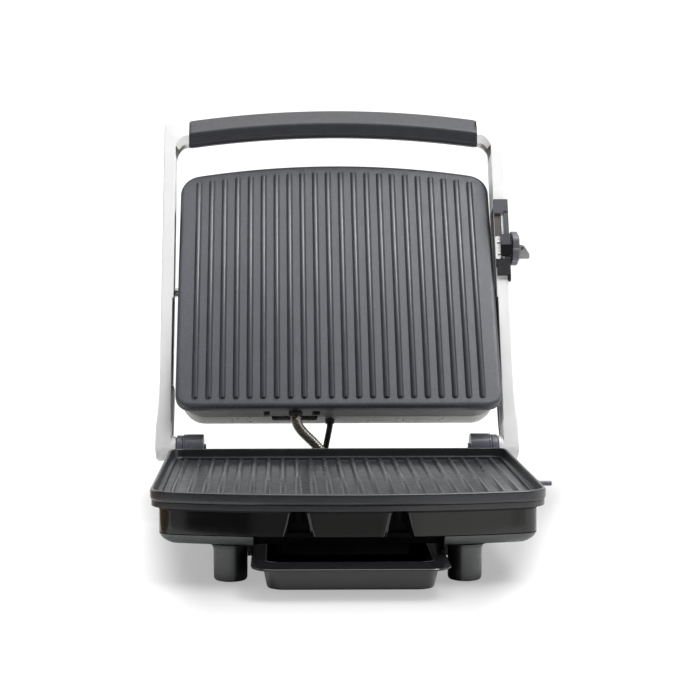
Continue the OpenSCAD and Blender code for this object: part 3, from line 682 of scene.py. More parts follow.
def rails(bm):
    for side in (-1, 1):
        shape = [(71.2, 29), (71.2, 20.5), (64.5, 20.5), (64.5, 18.4), (73.6, 18.4), (73.6, 29)]
        prism(bm, [(side * x, z) for x, z in shape], "Y", -88, -22, 0.5)


def recess_shade_sheet(bm):
    """Painted shade: a black sheet over the drip tray, behind the front recess."""
    prism(bm, rounded_rect(-68.6, 68.6, -112.5, -92.4, 8.6), "Z", SPLIT - 0.8, SPLIT + 2.5, 0.4)


belly = add_piece("belly", carve(belly_body, belly_cuts), "base", SATIN, ["base_bottom"])
belly.data.materials.append(PAINTED_DEEP_SHADE)
# Faces inside the front recess are painted deep shade.
for face in belly.data.polygons:
    at = face.center / MM
    if abs(at.x) < 69.2 and -113 < at.y < -91.8 and at.z > UNDERSIDE + 0.2:  # inside the recess
        face.material_index = 1
add_piece("belly_feet", feet, "base", FEET, ["base_bottom"], angle=50)
add_piece("belly_rails", rails, "base", BLACK_AND_LEDGE_SHADE, ["base_bottom"])
add_piece("recess_shade_sheet", recess_shade_sheet, "base", PAINTED_DEEP_SHADE)


REAR_FACE = 117.6  # back of the base's wall


def hinge_bracket(bm):
    groove = [(131.6, 12.5), (131.9, 12.1), (132.5, 12.1), (132.8, 12.5), (133.4, 12.4), (134, 11.6)]
    lathe(bm, "X", HINGE, disc(116, 133, 12.5, 1.0)[:-3] + groove, 56)
    face = REAR_FACE - HINGE.y
    shape = [(face, -32.5), (3, -32.5), (12.4, -8), (12.4, 0), (-12.4, 0), (-12.4, -10.5), (face, -10.5)]
    prism(bm, [(HINGE.y + y, HINGE.z + z) for y, z in shape], "X", 116.3, 133.7, 0.9)


def hinge_washer(bm):
    for side in (1, -1):
        profile = disc(134.3, 139.5, 11.6, 0.6)
        lathe(bm, "X", HINGE, [(side * t, r) for t, r in profile], 56)


add_piece("hinge_barrel_right", hinge_bracket, "base", BARREL, ["hinge_bracket_right"], angle=30)
add_piece("hinge_barrel_left", hinge_bracket, "base", BARREL, ["hinge_bracket_left"], angle=30, mirror=True)
add_piece("hinge_rings", hinge_washer, "base", BARREL, ["hinge_washers"])


def latch_stud(bm):
    y = -46
    block(bm, (138.7, y - 4, 48), (147.2, y + 4, 56), 0.6)
    block(bm, (145.4, y - 4, 48), (147.2, y + 4, 66.6), 0.5)
    lathe(bm, "X", (0, y, 64.8), disc(145.5, 156.3, 1.9, 0.5), 24)


def cable_box(bm):
    block(bm, (-24, REAR_FACE, 34), (14, 156.5, 50), 1.6, 3)


def inlet_gland(bm):
    lathe(bm, "Y", (58, REAR_FACE, 44), [(0, 7.4), (0, 8), (2.6, 8), (3, 7.6), (3.1, 5.9), (3.6, 5.5), (6, 5.5), (6.4, 5.0),
          (7, 5.0), (7.4, 5.5), (9, 5.5), (9.4, 5.0), (10, 5.0), (10.4, 5.4), (13.4, 5.2), (13.9, 4.7), (13.9, 3.5),
          (6, 3.4)], 40)


add_piece("latch_post", latch_stud, "base", BARREL, ["latch_stud"])
add_piece("cable_housing", cable_box, "base", GLOSS, ["rear_cable_box"])
add_piece("inlet_gland", inlet_gland, "base", RUBBER, ["mains_inlet_gland"])

# ---- drip tray

TRAY_FRONT, TRAY_D = -158.0, 132.0


def tray_ring(half, front, back, r, z):
    return [(x, y, z) for x, y in rounded_rect(-half, half, TRAY_FRONT + front, TRAY_FRONT + TRAY_D - back, r, 8)]


def tray_body(bm):
    steps = [
        (52, 14, 16, 8, 6.0), (57.0, 10.6, 11.4, 10, 6.0), (58.6, 9.0, 9.8, 11, 6.5), (59.2, 8.4, 9.2, 11, 7.6),
        (61.4, 5.6, 6.4, 12, 19.4), (61.9, 5.0, 5.9, 12, 20.6), (62.6, 4.2, 5.0, 12, 20.8), (69.6, 0.9, 0.9, 15.2, 20.8),
        (70.2, 0.3, 0.3, 15.8, 21.0), (70.5, 0.0, 0.0, 16, 21.5), (70.4, 0.1, 0.1, 16, 22.1), (70.0, 0.6, 0.6, 15.6, 22.5),
        (69.2, 1.4, 1.4, 15, 22.6), (67, 3.6, 3.4, 13, 22.6), (62, 25.8, 7.2, 10, 22.6), (60.2, 26.2, 7.6, 9.2, 22.6),
        (59.6, 26.8, 8.1, 9.0, 22.2), (59.3, 27.2, 8.5, 9.0, 21.2), (56.6, 29.4, 11.6, 9, 9.0), (55.8, 30.4, 12.6, 8.6, 8.1),
        (54, 32, 14, 8, 8.0), (50, 36, 18, 7, 8.0),
    ]
    loft(bm, [tray_ring(*s) for s in steps])


add_piece("tray", tray_body, "tray", TRAY_GLOSS, ["drip_tray"], angle=30)

# ---- yoke

GRIP_POLYGON = [(3, 14.6), (-3, 14.2), (-13, -2.4), (-13, -4.6), (-10, -13), (-7, -15), (9, -8.6), (13.5, -5.5),
                (16, 2), (13, 10.5), (8, 14)]
# Section of the stub beside the grip, and the arm's own section point for point with it: (local y, distance outwards
# from the arm's inner side, radius of that line's turn at the corner)
STUB_POLYGON = [(3, 14.6), (-2.6, 14.1), (-10.1, 10.5), (-10.8, 9.7), (-12.0, -1.6), (-12.2, -2.6), (-12.9, -4.9),
                (-10, -13), (-7, -15), (9, -8.6), (13.5, -5.5), (16, 2), (13, 10.5), (8, 14)]
ARM_SECTION = [(4, 10.7, 3), (-6, 10.7, 3), (-10.2, 10.7, 3), (-11, 10.0, 3.2), (-11, 0.8, 9), (-10.7, 0.15, 9), (-9.8, 0, 9),
               (-6, 0, 9), (0, 0, 9), (12, 0, 9), (17.4, 0.3, 9), (19, 2.2, 9), (19, 8.4, 4), (16.6, 10.4, 3)]
TOP_FALL = 2.2  # the corner's top edge falls by this much towards its outer end
TURN_R = 9.0  # radius of the corner's inner side
CORNER_STEPS = 30
# Lower end of the arm: (local z, depth in front, depth behind, how far it swells outwards)
ARM_FOOT = ((262, 1, 1, 0), (75, 1, 1, 0), (60, 1, 1, 0.1), (45, 1, 1, 0.4), (32, 1, 0.92, 1.2), (22, 1, 0.78, 2.2),
            (14, 1, 0.68, 2.8), (6, 0.985, 0.62, 3.0), (0, 0.977, 0.566, 3.0), (-5, 0.84, 0.50, 2.9),
            (-8.6, 0.55, 0.34, 2.4), (-10.2, 0.28, 0.17, 1.6))


def corner_reach(a, across, up, r):
    """How far a ray at angle a from straight up runs to a corner turned at radius r."""
    s, c = sin(a), cos(a)
    flat, tall = across - r, up - r
    if up * s <= flat * c:
        return up / c
    if across * c <= tall * s:
        return across / s
    m = flat * s + tall * c
    return m + sqrt(max(0, m * m - flat * flat - tall * tall + r * r))


def yoke_arm(bm):
    """The stub beside the grip, the corner and the arm, as one swept casting."""
    px, pz = ARM_IN - TURN_R, GRIP_Z - 15 * 0.97 - TURN_R
    rings = []
    stub = [(y * 0.97 + 1, z * 0.97 + GRIP_Z) for y, z in STUB_POLYGON]
    for x in (GRIP_W / 2 + 0.3, px - 2):
        rings.append([(x, y, z) for y, z in stub])
    for i in range(CORNER_STEPS + 1):
        a = pi / 2 * i / CORNER_STEPS
        blend = sin(a) ** 2
        ring = []
        for (sy, sz), (ay, out, r) in zip(stub, ARM_SECTION):
            across = ARM_IN + out - px
            fall = TOP_FALL * min(1.0, (sz - pz) * sin(a) / (cos(a) * across + 1e-6))
            reach = corner_reach(a, across, sz - pz - fall, min(r, across, sz - pz))
            ring.append((px + reach * sin(a), sy + (ay - sy) * blend, pz + reach * cos(a)))
        rings.append(ring)
    for z, front, back, flare in ARM_FOOT:
        ring = []
        for y, out, _ in ARM_SECTION:
            ring.append((ARM_IN + out * (1 + flare / 10.7), y * (front if y < 0 else back), z))
        rings.append(ring)
    loft(bm, rings)


def arm_pocket(bm):
    prism(bm, rounded_rect(-8.4, 16.4, 58, COVER_TOP + 0.4, 4), "X", ARM_IN - 3, ARM_OUT - 2.5, 0)


def rim_step(bm):
    """Step in the inner face that lets the closed arm pass beside the lower plate's rim."""
    block(bm, (ARM_IN - 2, -16, 22), (STEP_X, STEP_Y, 136), 0)


def arm_cavity(bm):
    prism(bm, rounded_rect(-8.3, 16.3, 60, 268, 4), "X", ARM_IN + 2.3, ARM_OUT - 2.6, 0)


def bar_screw_bore(bm):
    lathe(bm, "X", (0, *END_SCREW), [(153.1, 3.6), (162, 3.6)], 32)


def arm_bosses(bm):
    lathe(bm, "X", (0, 0, 0), [(140, 9.2), (140.3, 10.2), (141.2, 10.75), (154.6, 10.75), (156.6, 10.2), (157.7, 8.6),
          (158, 6.5), (157.4, 5.2), (157.4, 4.2)], 64)
    lathe(bm, "X", (0, PIVOT.y, PIVOT.z), disc(ARM_IN + 0.1, ARM_OUT - 1, 7.5, 0.6), 40)
    block(bm, (ARM_IN - 1, STEP_Y + 0.25, 12), (ARM_IN + 0.4, STEP_Y + 2.0, 56), 0.3)
    for z in COVER_SCREWS:
        lathe(bm, "X", (0, 4, z), disc(ARM_IN + 2.4, ARM_OUT - 1, 3.2, 0.4), 28)


def whole_arm(bm):
    build = yoke_arm
    for cutters in (arm_pocket, arm_cavity, rim_step, bar_screw_bore):
        build = carve(build, cutters)
    build(bm)
    arm_bosses(bm)


for hand, flip in (("right", False), ("left", True)):
    casting = add_piece("yoke_casting_" + hand, whole_arm, "yoke", SILVER, ["yoke_arm_" + hand], ARM,
                        32, mirror=flip)
    casting.data.materials.append(CROOK_SHADE)
    # Painted shade: faces past the corner that look down and inwards take the darker copy of the silver.
    inward = Vector((1 if flip else -1, 0, 0)) - ARM.to_3x3() @ Vector((0, -0.1, 1))
    corner = ARM @ Vector((0, 0, CORNER_Z))
    along = ARM.to_3x3() @ Vector((0, 0, 1))
    for face in casting.data.polygons:
        if (face.center / MM - corner).dot(along) > 0 and face.normal.dot(inward) > 0.62 and face.normal.y > -0.8:
            face.material_index = 1


def grip_body(bm):
    shape = round_corners(GRIP_POLYGON, 1.5, 3)
    steps = 60
    middle = [((-1 + 2 * i / steps) * (GRIP_W / 2 - 1.6), 1.0) for i in range(steps + 1)]
    tip = [(GRIP_W / 2 - 0.55, 0.985), (GRIP_W / 2 - 0.1, 0.95), (GRIP_W / 2, 0.90)]
    rings = []
    for x, k in [(-x, k) for x, k in tip[::-1]] + middle + tip:
        rise = GRIP_ARCH * (1 - (2 * x / GRIP_W) ** 2)
        rings.append([(x, y * k + 1, z * k + GRIP_Z + rise) for y, z in shape])
    loft(bm, rings)


add_piece("grip", grip_body, "yoke", GRIP, ["handle_grip"], ARM, 30)


def arm_cover(bm):
    prism(bm, rounded_rect(-8.2, 16.2, 58.2, COVER_TOP + 0.2, 3.8), "X", ARM_IN + 0.2, ARM_IN + 2.2, 0.4)


def cover_hole(bm):
    lathe(bm, "X", (0, PIVOT.y, PIVOT.z), [(ARM_IN - 1, 7.7), (ARM_IN + 4, 7.7)], 40)


def inner_shade_strip(bm):
    """Painted shade: a black strip on the arm's inner side, between the cover and the hinge."""
    shape = [(3.1, 12.5), (10.4, 12.5), (12.6, 20), (14.9, 28), (16.4, 40), (16.4, 57.6), (3.1, 57.6)]
    prism(bm, shape, "X", ARM_IN - 0.95, ARM_IN + 0.05, 0.3)


for hand, flip in (("right", False), ("left", True)):
    add_piece("arm_strip_" + hand, carve(carve(arm_cover, cover_hole), rim_step), "yoke", COVER_AND_SADDLE_SHADE,
              ["arm_cover_" + hand], ARM, mirror=flip)
    add_piece("arm_shade_strip_" + hand, inner_shade_strip, "yoke", PAINTED_DEEP_SHADE, (), ARM, mirror=flip)


def add_screws(name, places, axis, facing, r, h, replaces=()):
    """Domed cross-recess screw heads on the yoke. places are (x, y, z) of each head's seat.

    facing is 1 where the heads point away from the middle plane, and -1 where they point to it or to the front.
    """
    k = "XYZ".index(axis)
    others = [i for i in range(3) if i != k]
    aims = [(p, facing * copysign(1, p[0])) for p in places]

    def heads(bm):
        for p, s in aims:
            lathe(bm, axis, p, [(0, r * 0.9), (s * 0.15 * h, r), (s * 0.45 * h, r * 0.97), (s * 0.8 * h, r * 0.7),
                  (s * h, r * 0.3)], 28)

    def crosses(bm):
        for p, s in aims:
            for arms in ((r * 0.62, r * 0.13), (r * 0.13, r * 0.62)):
                a, b = sorted((s * h * 0.35, s * h * 2))
                lo, hi = list(p), list(p)
                lo[k], hi[k] = p[k] + a, p[k] + b
                for i, w in zip(others, arms):
                    lo[i], hi[i] = p[i] - w, p[i] + w
                block(bm, lo, hi, 0)

    add_piece(name, carve(heads, crosses), "yoke", STEEL, replaces, ARM)


cover_places = [(s * (ARM_IN + 0.2), 4, z) for s in (-1, 1) for z in COVER_SCREWS]
add_screws("arm_strip_screws", cover_places, "X", -1, 2.4, 0.45, ["arm_cover_screws"])
add_screws("grip_end_screws", [(s * 153.2, *END_SCREW) for s in (-1, 1)], "X", 1, 3.4, 1.4, ["handle_end_screws"])
add_screws("guide_screws", [(147.2, -13.3, z) for z in (175, 186)], "Y", -1, 1.3, 0.6, ["lock_guide_screws"])
add_screws("hinge_screws", [(s * 157.3, 0, 0) for s in (-1, 1)], "X", 1, 4.6, 0.6)

# ---- lock


def bracket_plates(bm, low, high):
    """The two long cheeks of the bracket on the arm's outer side, with the slide's slot between them."""
    block(bm, (BRACKET_X[0], -14.0, low), (BRACKET_X[1], -4.2, high), 0.6)
    block(bm, (BRACKET_X[0], 4.2, low), (BRACKET_X[1], 12, high), 0.6)


def lock_bracket(bm):
    bar = BRACKET_HIGH - 13.5
    block(bm, (ARM_IN, -14.2, bar), (BRACKET_X[1], -11.1, BRACKET_HIGH), 0.7)
    block(bm, (152.6, -14.2, BRACKET_SPLIT - 2), (BRACKET_X[1], -10.9, bar + 2), 0.6)
    bracket_plates(bm, BRACKET_SPLIT, BRACKET_HIGH)
    block(bm, (BRACKET_X[0], -5, LOCK_Z + 27), (BRACKET_X[1], 5, BRACKET_HIGH), 0.4)


# The bracket's lower part is its own piece so that it can take the painted shade.
def saddle_foot(bm):
    block(bm, (STEP_X, -14.2, BRACKET_LOW), (BRACKET_X[1], -11.1, BRACKET_SPLIT), 0.7)
    block(bm, (ARM_IN, -14.2, BRACKET_LOW + 8), (146, -11.1, BRACKET_SPLIT), 0.7)
    bracket_plates(bm, BRACKET_LOW, BRACKET_SPLIT + 0.1)
    block(bm, (BRACKET_X[0], -5, BRACKET_LOW), (BRACKET_X[1], 5, LOCK_Z - 10), 0.4)
    hook = [(-14.2, BRACKET_LOW + 1), (-8, BRACKET_LOW + 1), (-9, BRACKET_LOW - 5), (-12.6, BRACKET_LOW - 5)]
    prism(bm, hook, "X", *BRACKET_X, 0.5)


def lock_window(bm):
    """Painted shade: a dull dark sheet lining the opening that the slide runs in, in front of the arm."""
    block(bm, (ARM_IN + 0.3, -11.6, 169.5), (152.0, -11.05, 214.5), 0.1)


def lock_sliver(bm):
    block(bm, (150.6, -12.6, 169.5), (152.5, -11.6, 214.5), 0.3)


def lock_guide(bm):
    prism(bm, rounded_rect(ARM_IN, 149, 170.3, 192, 1.6), "Y", -13.2, -11.1, 0.3)


def lock_slider(bm):
    block(bm, (149.3, -16.2, LOCK_Z - 2.2), (158.9, -14.5, LOCK_Z + 8), 0.5)
    block(bm, (157.3, -16.2, LOCK_Z - 2.2), (158.9, 10, LOCK_Z + 8), 0.5)
    block(bm, (155.7, -3.8, LOCK_Z - 9), (158, 3.8, LOCK_Z + 6), 0.3)


# Painted shade: black blocks under the slide where its inside lies in shade.
def slider_shade(bm):
    block(bm, (149.4, -16.0, LOCK_Z - 12.8), (158.8, -14.3, LOCK_Z - 1.8), 0.3)
    block(bm, (157.4, -14.5, LOCK_Z - 12.8), (158.8, 9, LOCK_Z - 1.8), 0.3)


# The fin on the knob lies level when the arms are up
FIN = Matrix.Translation((0, 0, LOCK_Z)) @ Matrix.Rotation(radians(ARM_LEAN), 4, "X")


def knob(bm):
    """Wheel with five rounded lobes."""
    steps = 96
    levels = [(159.3, 0.90), (159.5, 0.955), (160.1, 1.0), (164.6, 1.0), (165.6, 0.97), (166.1, 0.91), (166.2, 0.84)]
    angles = [2 * pi * i / steps for i in range(steps)]
    rim = [(a, 12.9 + 2.9 * (0.5 + 0.5 * cos(5 * a)) ** 0.45) for a in angles]
    loft(bm, [[(x, r * k * sin(a), LOCK_Z + r * k * cos(a)) for a, r in rim] for x, k in levels])


def knob_fin(bm):
    fin = [(165, 3.4), (168.5, 3.4), (170.8, 2.2), (175.2, -4.6), (175.2, -8.6), (173.8, -9.2), (165, -9.2)]
    prism(bm, fin, "Y", -11, 11, 1.1, 3)
    bmesh.ops.transform(bm, matrix=FIN, verts=bm.verts)


def knob_dimple(bm):
    lathe(bm, "Y", (168.6, 0, 0.2), [(-12, 1.5), (-9.4, 1.3)], 20)
    bmesh.ops.transform(bm, matrix=FIN, verts=bm.verts)


add_piece("lock_saddle", lock_bracket, "yoke", DARK, ["lock_bracket"], ARM)
add_piece("lock_saddle_foot", saddle_foot, "yoke", COVER_AND_SADDLE_SHADE, ["lock_bracket"], ARM)
add_piece("lock_window", lock_window, "yoke", WINDOW_SHADE, (), ARM)
add_piece("lock_sliver", lock_sliver, "yoke", SILVER, (), ARM)
add_piece("lock_guide", lock_guide, "yoke", SILVER, ["lock_guide_plate"], ARM)
add_piece("lock_slide_block", lock_slider, "lock_slide", BLOCK, ["lock_slider"], ARM)
add_piece("lock_slide_shade", slider_shade, "lock_slide", PAINTED_DEEP_SHADE, ["lock_slider"], ARM)
add_piece("lock_wheel", knob, "knob", KNOB, ["lock_knob"], ARM)
add_piece("lock_fin", carve(knob_fin, knob_dimple), "knob", FIN_LIT_GREY, ["lock_knob"], ARM)

# ---- lid housing


HOSE_X, LEAD_X = -36, -6  # where the hose and the lead enter the lid


def frame_body(bm):
    section = [(3.3, 1.3, 9.2), (3.0, 1.0, 9.5), (3.0, 1.0, 21.1), (3.3, 1.3, 21.4), (5.4, 3.4, 21.4), (5.4, 3.4, 9.2)]
    loft(bm, [upper_ring(*s, HOUSING_R) for s in section], closed=True)


def frame_cuts(bm):
    lathe(bm, "Z", (HOSE_X - LID_X, 15, 0), [(-1, 6.2), (7, 6.2)], 32)
    for x0, x1 in ((-65.0, -59.4), (-22.6, -15.6)):
        prism(bm, rounded_rect(x0, x1, 11.4, 19.8, 0.8, 3), "Z", -1, 6, 0)


def cover_body(bm):
    """The dome's rings (side inset, end inset, depth), drawn in at the far end to stay within DOME_REACH."""
    outer = [(3.9, 1.2, 21.8), (3.6, 1.0, 22.1), (3.7, 1.0, 27), (4.0, 1.1, 32), (4.6, 1.4, 36), (5.6, 2.2, 39.3),
             (7.4, 4.0, 42.3), (10.4, 7.4, 44.6), (14.5, 11.5, 45.7), (20, 16, 46), (26, 19.6, 46),
             (31.2, 23, 46), (31.8, 23.6, 45.8), (32, 24, 45.4), (34, 26, 45.4), (44, 36, 45.4)]
    inner = [(44, 36, 43.2), (27, 17, 43.2), (12.6, 4.4, 34), (5.8, 3.2, 24), (5.8, 3.2, 21.8)]
    rings = []
    for side, ends, depth in inner + outer:
        room = (DOME_REACH - depth * cos(radians(PLATE_LEAN))) / sin(radians(PLATE_LEAN))
        squeeze = min(1.0, room / (PLATE_D - ends))
        rings.append([(x, d, v * squeeze) for x, d, v in upper_ring(side, ends, depth, HOUSING_R)])
    loft(bm, rings)


def lens_holes(bm):
    for x in (-LENS_X, LENS_X):
        lathe(bm, "Y", (x, 0, PLATE_D - 30), [(40, 3.6), (50, 3.6)], 28)


def cover_cuts(bm):
    prism(bm, rounded_rect(-57.9, -18.1, 18, 30, 2.0, 4), "Z", -1, 5, 0)
    lathe(bm, "Z", (LEAD_X - LID_X, 30, 0), [(-1, 4.2), (7, 4.2)], 28)
    lens_holes(bm)
    for side in (-1, 1):
        lathe(bm, "X", (0, PIVOT_Y, PIVOT_Z), [(side * 132, 5.1), (side * 150, 5.1)], 28)


def top_panel(bm):
    section = [(36, 28, 45.5), (32.6, 24.6, 45.5), (32.4, 24.4, 45.7), (32.4, 24.4, 46.0), (32.7, 24.7, 46.25),
               (33.3, 25.3, 46.3), (40, 32, 46.3)]
    loft(bm, [upper_ring(*s, HOUSING_R) for s in section])


def lenses(bm):
    for x in (-LENS_X, LENS_X):
        lathe(bm, "Y", (x, 0, PLATE_D - 30), [(43, 3.3), (46.5, 3.3), (46.9, 3.1), (47.2, 2.3), (47.35, 1.0)], 32)


def grommets(bm):
    hose = [(4.6, 6.0), (0.1, 6.0), (0, 6.1), (-0.3, 6.1), (-0.8, 5.8), (-1.1, 5.5), (-1.2, 4.7)]
    lathe(bm, "Z", (HOSE_X - LID_X, 15, 0), hose, 40)
    lathe(bm, "Z", (LEAD_X - LID_X, 30, 0), [(3.8, 3.9), (-1.4, 4.0), (-1.9, 3.6), (-2, 2.8)], 32)


add_piece("lid_rim_frame", carve(frame_body, frame_cuts), "lid", FRAME, ["lid_frame"], LID)
add_piece("lid_dome", carve(cover_body, cover_cuts), "lid", SHELL, ["lid_cover"], LID)
add_piece("lid_panel", carve(top_panel, lens_holes), "lid", BRUSHED, ["lid_top_panel"], LID)
add_piece("lid_lenses", lenses, "lid", LENS, ["indicator_lenses"], LID)
add_piece("lid_cable_grommets", grommets, "lid", RUBBER, ["lid_grommets"], LID)

# ---- hose and lead between lid and base

HOSE_ROUTE = [(HOSE_X, 137.93, 94.27), (HOSE_X, 136.62, 92.14), (-35.2, 136.5, 89.5), (-33.3, 137.4, 86), (-30.3, 138.8, 81.8),
              (-26, 140.3, 77.3), (-21, 141.5, 72.3), (-16.3, 142.3, 67), (-12.6, 142.8, 61.5), (-10.6, 143, 56.5),
              (-10.2, 143, 53), (-10.2, 143, 50.1)]
LEAD_ROUTE = [(LEAD_X, 151.23, 87.25), (LEAD_X, 150.18, 85.55), (-6.6, 149.8, 82), (-7.8, 149.9, 76), (-9.2, 150.1, 69),
              (-10.4, 150.3, 62.5), (-11, 150.4, 56.5), (-11.1, 150.4, 53), (-11.1, 150.4, 50.1)]
HOSE_R, HOSE_PITCH, HOSE_STEP = 4.5, 2.1, 0.32
LEAD_R = 2.6


def spiral(distance, angle):
    """Surface of an interlocked metal hose: a shallow step that winds round it."""
    turn = (distance / HOSE_PITCH - angle / (2 * pi)) % 1.0
    return HOSE_R - HOSE_STEP * (0.5 - 0.5 * cos(2 * pi * turn)) ** 3


def two_halves(name, route, radius, step, material, node, n):
    """One flexible piece in two lengths that meet near the hinge."""
    path = resample(catmull([Vector(p) for p in route]), step)
    middle = min(range(len(path)), key=lambda i: abs(path[i].z - HINGE.z))
    parts = ((path[: middle + 1], "yoke", "lid", "upper"), (path[middle:], "base", "yoke", "lower"))
    start = sum((path[i + 1] - path[i]).length for i in range(middle))
    for points, a, b, word in parts:
        offset = 0.0 if word == "upper" else start
        build = lambda bm, q=points, o=offset: tube(bm, q, lambda d, t: radius(d + o, t), n)
        obj = add_piece(f"{name}_{word}", build, None, material, [node], angle=70, weighted=False)
        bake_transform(obj)


two_halves("hose", HOSE_ROUTE, spiral, 0.3, HOSE, "conduit_hose", 24)
two_halves("link", LEAD_ROUTE, lambda d, a: LEAD_R, 1.2, RUBBER, "link_lead", 16)

# ---- CAD nodes that stay

CARRIED = {
    FOOT: ["foot_pads"],
    STEEL: ["base_screws", "hinge_pins", "handle_bar", "pivot_pins", "lock_axle", "lid_screws"],
    SHEATH: ["lower_heater", "upper_heater"],
    SHEET: ["lower_reflector", "upper_reflector"],
    CERAMIC: ["lower_thermostat", "upper_thermostat", "thermal_fuse", "terminal_block", "pivot_bushes"],
}
for material, names in CARRIED.items():
    for node_name in names:
        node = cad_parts[node_name]
        node.data.materials.clear()
        node.data.materials.append(material)

# ---- floor and light

# The pale floor glows for the camera, less so round the object: a painted soft shadow
FLOOR_SHADE = {"half_x": 0.118, "half_y": 0.04, "back": 0.24, "paper": 0.22, "glow": (0.008, 0.058, 0.39, 0.95)}
SHADE_WIDEN, SHADE_SLANT, SHADE_MIDDLE, SHADE_DEPTH = 0.18, 0.07, 0.003, 0.21
CARD_SIDE, CARD_FRONT, CARD_BACK, CARD_HEIGHT = 0.33, -0.295, 0.15, 0.075
CARD_STOPS = [(-330, (0.4, 0.27, 0.15)), (-300, (0.42, 0.30, 0.18)), (-243, (0.45, 0.45, 0.46)), (-226, (0.44, 0.45, 0.46)),
              (-214, (0.02, 0.023, 0.027)), (-130, (0.02, 0.023, 0.027)), (-112, (0.17, 0.175, 0.18)),
              (-74, (0.19, 0.19, 0.19)), (-34, (0.38, 0.37, 0.36)), (52, (0.38, 0.37, 0.36)), (104, (1.0, 0.98, 0.96)),
              (232, (1.05, 1.03, 1.0)), (252, (0.75, 0.73, 0.7)), (300, (1.3, 1.28, 1.25)), (330, (1.4, 1.38, 1.35))]


def make_floor():
    """Pale paper sweep that glows for the camera, more so away from the object, which paints its soft shadow."""
    bm = bmesh.new()
    bmesh.ops.create_grid(bm, x_segments=28, y_segments=28, size=14.0)
    floor = new_object("floor", bm)
    floor.location.z = -0.0003
    paper = surface("floor_paper", (0.80, 0.80, 0.80), 0.9, (2, 0.004), (60, 0.02, 0.1), specular=0.1)
    nodes, links = paper.node_tree.nodes, paper.node_tree.links
    x, y = (axis_of(paper.node_tree, "Object", axis) for axis in "XY")

    def math(operation, a, b=0.0, c=0.0):
        node = nodes.new("ShaderNodeMath")
        node.operation = operation
        for socket, value in zip(node.inputs, (a, b, c)):
            if isinstance(value, (int, float)):
                socket.default_value = value
            else:
                links.new(value, socket)
        return node.outputs["Value"]

    half_x = math("MULTIPLY_ADD", y, SHADE_WIDEN, FLOOR_SHADE["half_x"])
    middle = math("MULTIPLY_ADD", y, SHADE_SLANT, SHADE_MIDDLE)
    over_x = math("MAXIMUM", math("SUBTRACT", math("ABSOLUTE", math("SUBTRACT", x, middle)), half_x))
    front = math("MAXIMUM", math("SUBTRACT", math("MULTIPLY", y, -1.0), FLOOR_SHADE["half_y"]))
    back = math("MAXIMUM", math("SUBTRACT", y, FLOOR_SHADE["back"]))
    over_y = math("MULTIPLY", math("ADD", front, back), SHADE_DEPTH)
    away = math("SQRT", math("ADD", math("POWER", over_x, 2.0), math("POWER", over_y, 2.0)))
    glow = map_range(paper.node_tree, away, *FLOOR_SHADE["glow"], "SMOOTHSTEP")
    shader = nodes["Principled BSDF"]
    path = nodes.new("ShaderNodeLightPath")
    seen = math("MULTIPLY", path.outputs["Is Camera Ray"], glow)
    tint = nodes.new("ShaderNodeMix")
    tint.data_type = "RGBA"
    links.new(path.outputs["Is Camera Ray"], tint.inputs["Factor"])
    links.new(shader.inputs["Base Color"].links[0].from_socket, tint.inputs[6])
    tint.inputs[7].default_value = (FLOOR_SHADE["paper"],) * 3 + (1,)
    links.new(tint.outputs[2], shader.inputs["Base Color"])
    shader.inputs["Emission Color"].default_value = (1, 1, 1, 1)
    links.new(seen, shader.inputs["Emission Strength"])
    floor.data.materials.append(paper)


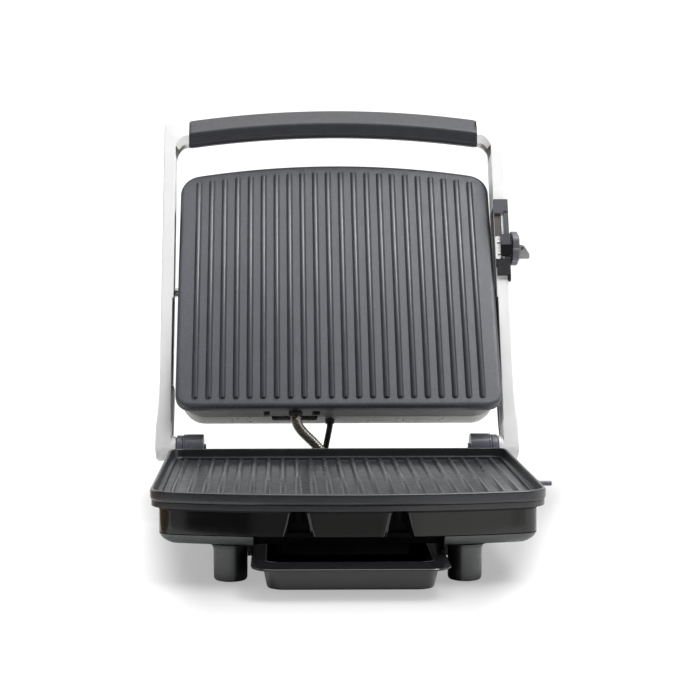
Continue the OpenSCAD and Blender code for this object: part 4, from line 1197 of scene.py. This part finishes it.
def make_card():
    """Glowing strip standing round the front of the object, seen only in reflections."""
    path = [(-CARD_SIDE, CARD_BACK), (-CARD_SIDE, CARD_FRONT), (CARD_SIDE, CARD_FRONT), (CARD_SIDE, CARD_BACK)]
    data = bpy.data.meshes.new("reflection_card")
    corners = [(x, y, z) for z in (0, CARD_HEIGHT) for x, y in path]
    data.from_pydata(corners, [], [(k, k + 1, k + 5, k + 4) for k in range(3)])
    card = bpy.data.objects.new("reflection_card", data)
    scene.collection.objects.link(card)
    mat = bpy.data.materials.new("reflection_card")
    mat.use_nodes = True
    nodes, links = mat.node_tree.nodes, mat.node_tree.links
    nodes.clear()
    ramp = nodes.new("ShaderNodeValToRGB")
    glow = nodes.new("ShaderNodeEmission")
    out = nodes.new("ShaderNodeOutputMaterial")
    links.new(map_range(mat.node_tree, axis_of(mat.node_tree, "Object", "X"), -CARD_SIDE, CARD_SIDE), ramp.inputs["Fac"])
    links.new(ramp.outputs["Color"], glow.inputs["Color"])
    links.new(glow.outputs["Emission"], out.inputs["Surface"])
    while len(ramp.color_ramp.elements) < len(CARD_STOPS):
        ramp.color_ramp.elements.new(0.5)
    for element, (x, level) in zip(ramp.color_ramp.elements, CARD_STOPS):
        element.position = (x * MM + CARD_SIDE) / (2 * CARD_SIDE)
        element.color = (*level, 1)
    data.materials.append(mat)
    card.visible_camera = card.visible_diffuse = card.visible_shadow = card.visible_transmission = False


def area_light(name, at, aim, size, power):
    data = bpy.data.lights.new(name, "AREA")
    data.shape = "RECTANGLE"
    data.size, data.size_y = size
    data.energy = power
    lamp = bpy.data.objects.new(name, data)
    scene.collection.objects.link(lamp)
    lamp.location = at
    lamp.rotation_euler = (Vector(aim) - Vector(at)).to_track_quat("-Z", "Y").to_euler()
    return lamp


def make_world():
    """White for the camera, and a bright studio with a darker front for light and reflections."""
    world = bpy.data.worlds.new("studio")
    scene.world = world
    world.use_nodes = True
    nodes, links = world.node_tree.nodes, world.node_tree.links
    front = map_range(world.node_tree, axis_of(world.node_tree, "Generated", "Y"), 0.1, 0.6, 0.0, 1.3)
    path = nodes.new("ShaderNodeLightPath")
    level = nodes.new("ShaderNodeMix")
    links.new(path.outputs["Is Camera Ray"], level.inputs["Factor"])
    links.new(front, level.inputs["A"])
    level.inputs["B"].default_value = 1.2
    links.new(level.outputs["Result"], nodes["Background"].inputs["Strength"])
    nodes["Background"].inputs["Color"].default_value = (1, 1, 1, 1)


make_floor()
make_card()
make_world()
area_light("over", (0.0, 0.1, 2.4), (0, 0.1, 0.0), (2.2, 1.7), 42)
area_light("front_right", (1.02, -0.36, 2.24), (0, 0.1, 0.2), (1.3, 0.8), 40)
fill = area_light("left_fill", (-0.9, -0.7, 0.55), (0, 0.1, 0.15), (0.6, 0.6), 2.6)
fill.visible_glossy = False
area_light("side", (1.25, -0.15, 0.55), (0, 0.1, 0.15), (0.5, 0.9), 3.4)
scene.view_settings.view_transform = "Standard"
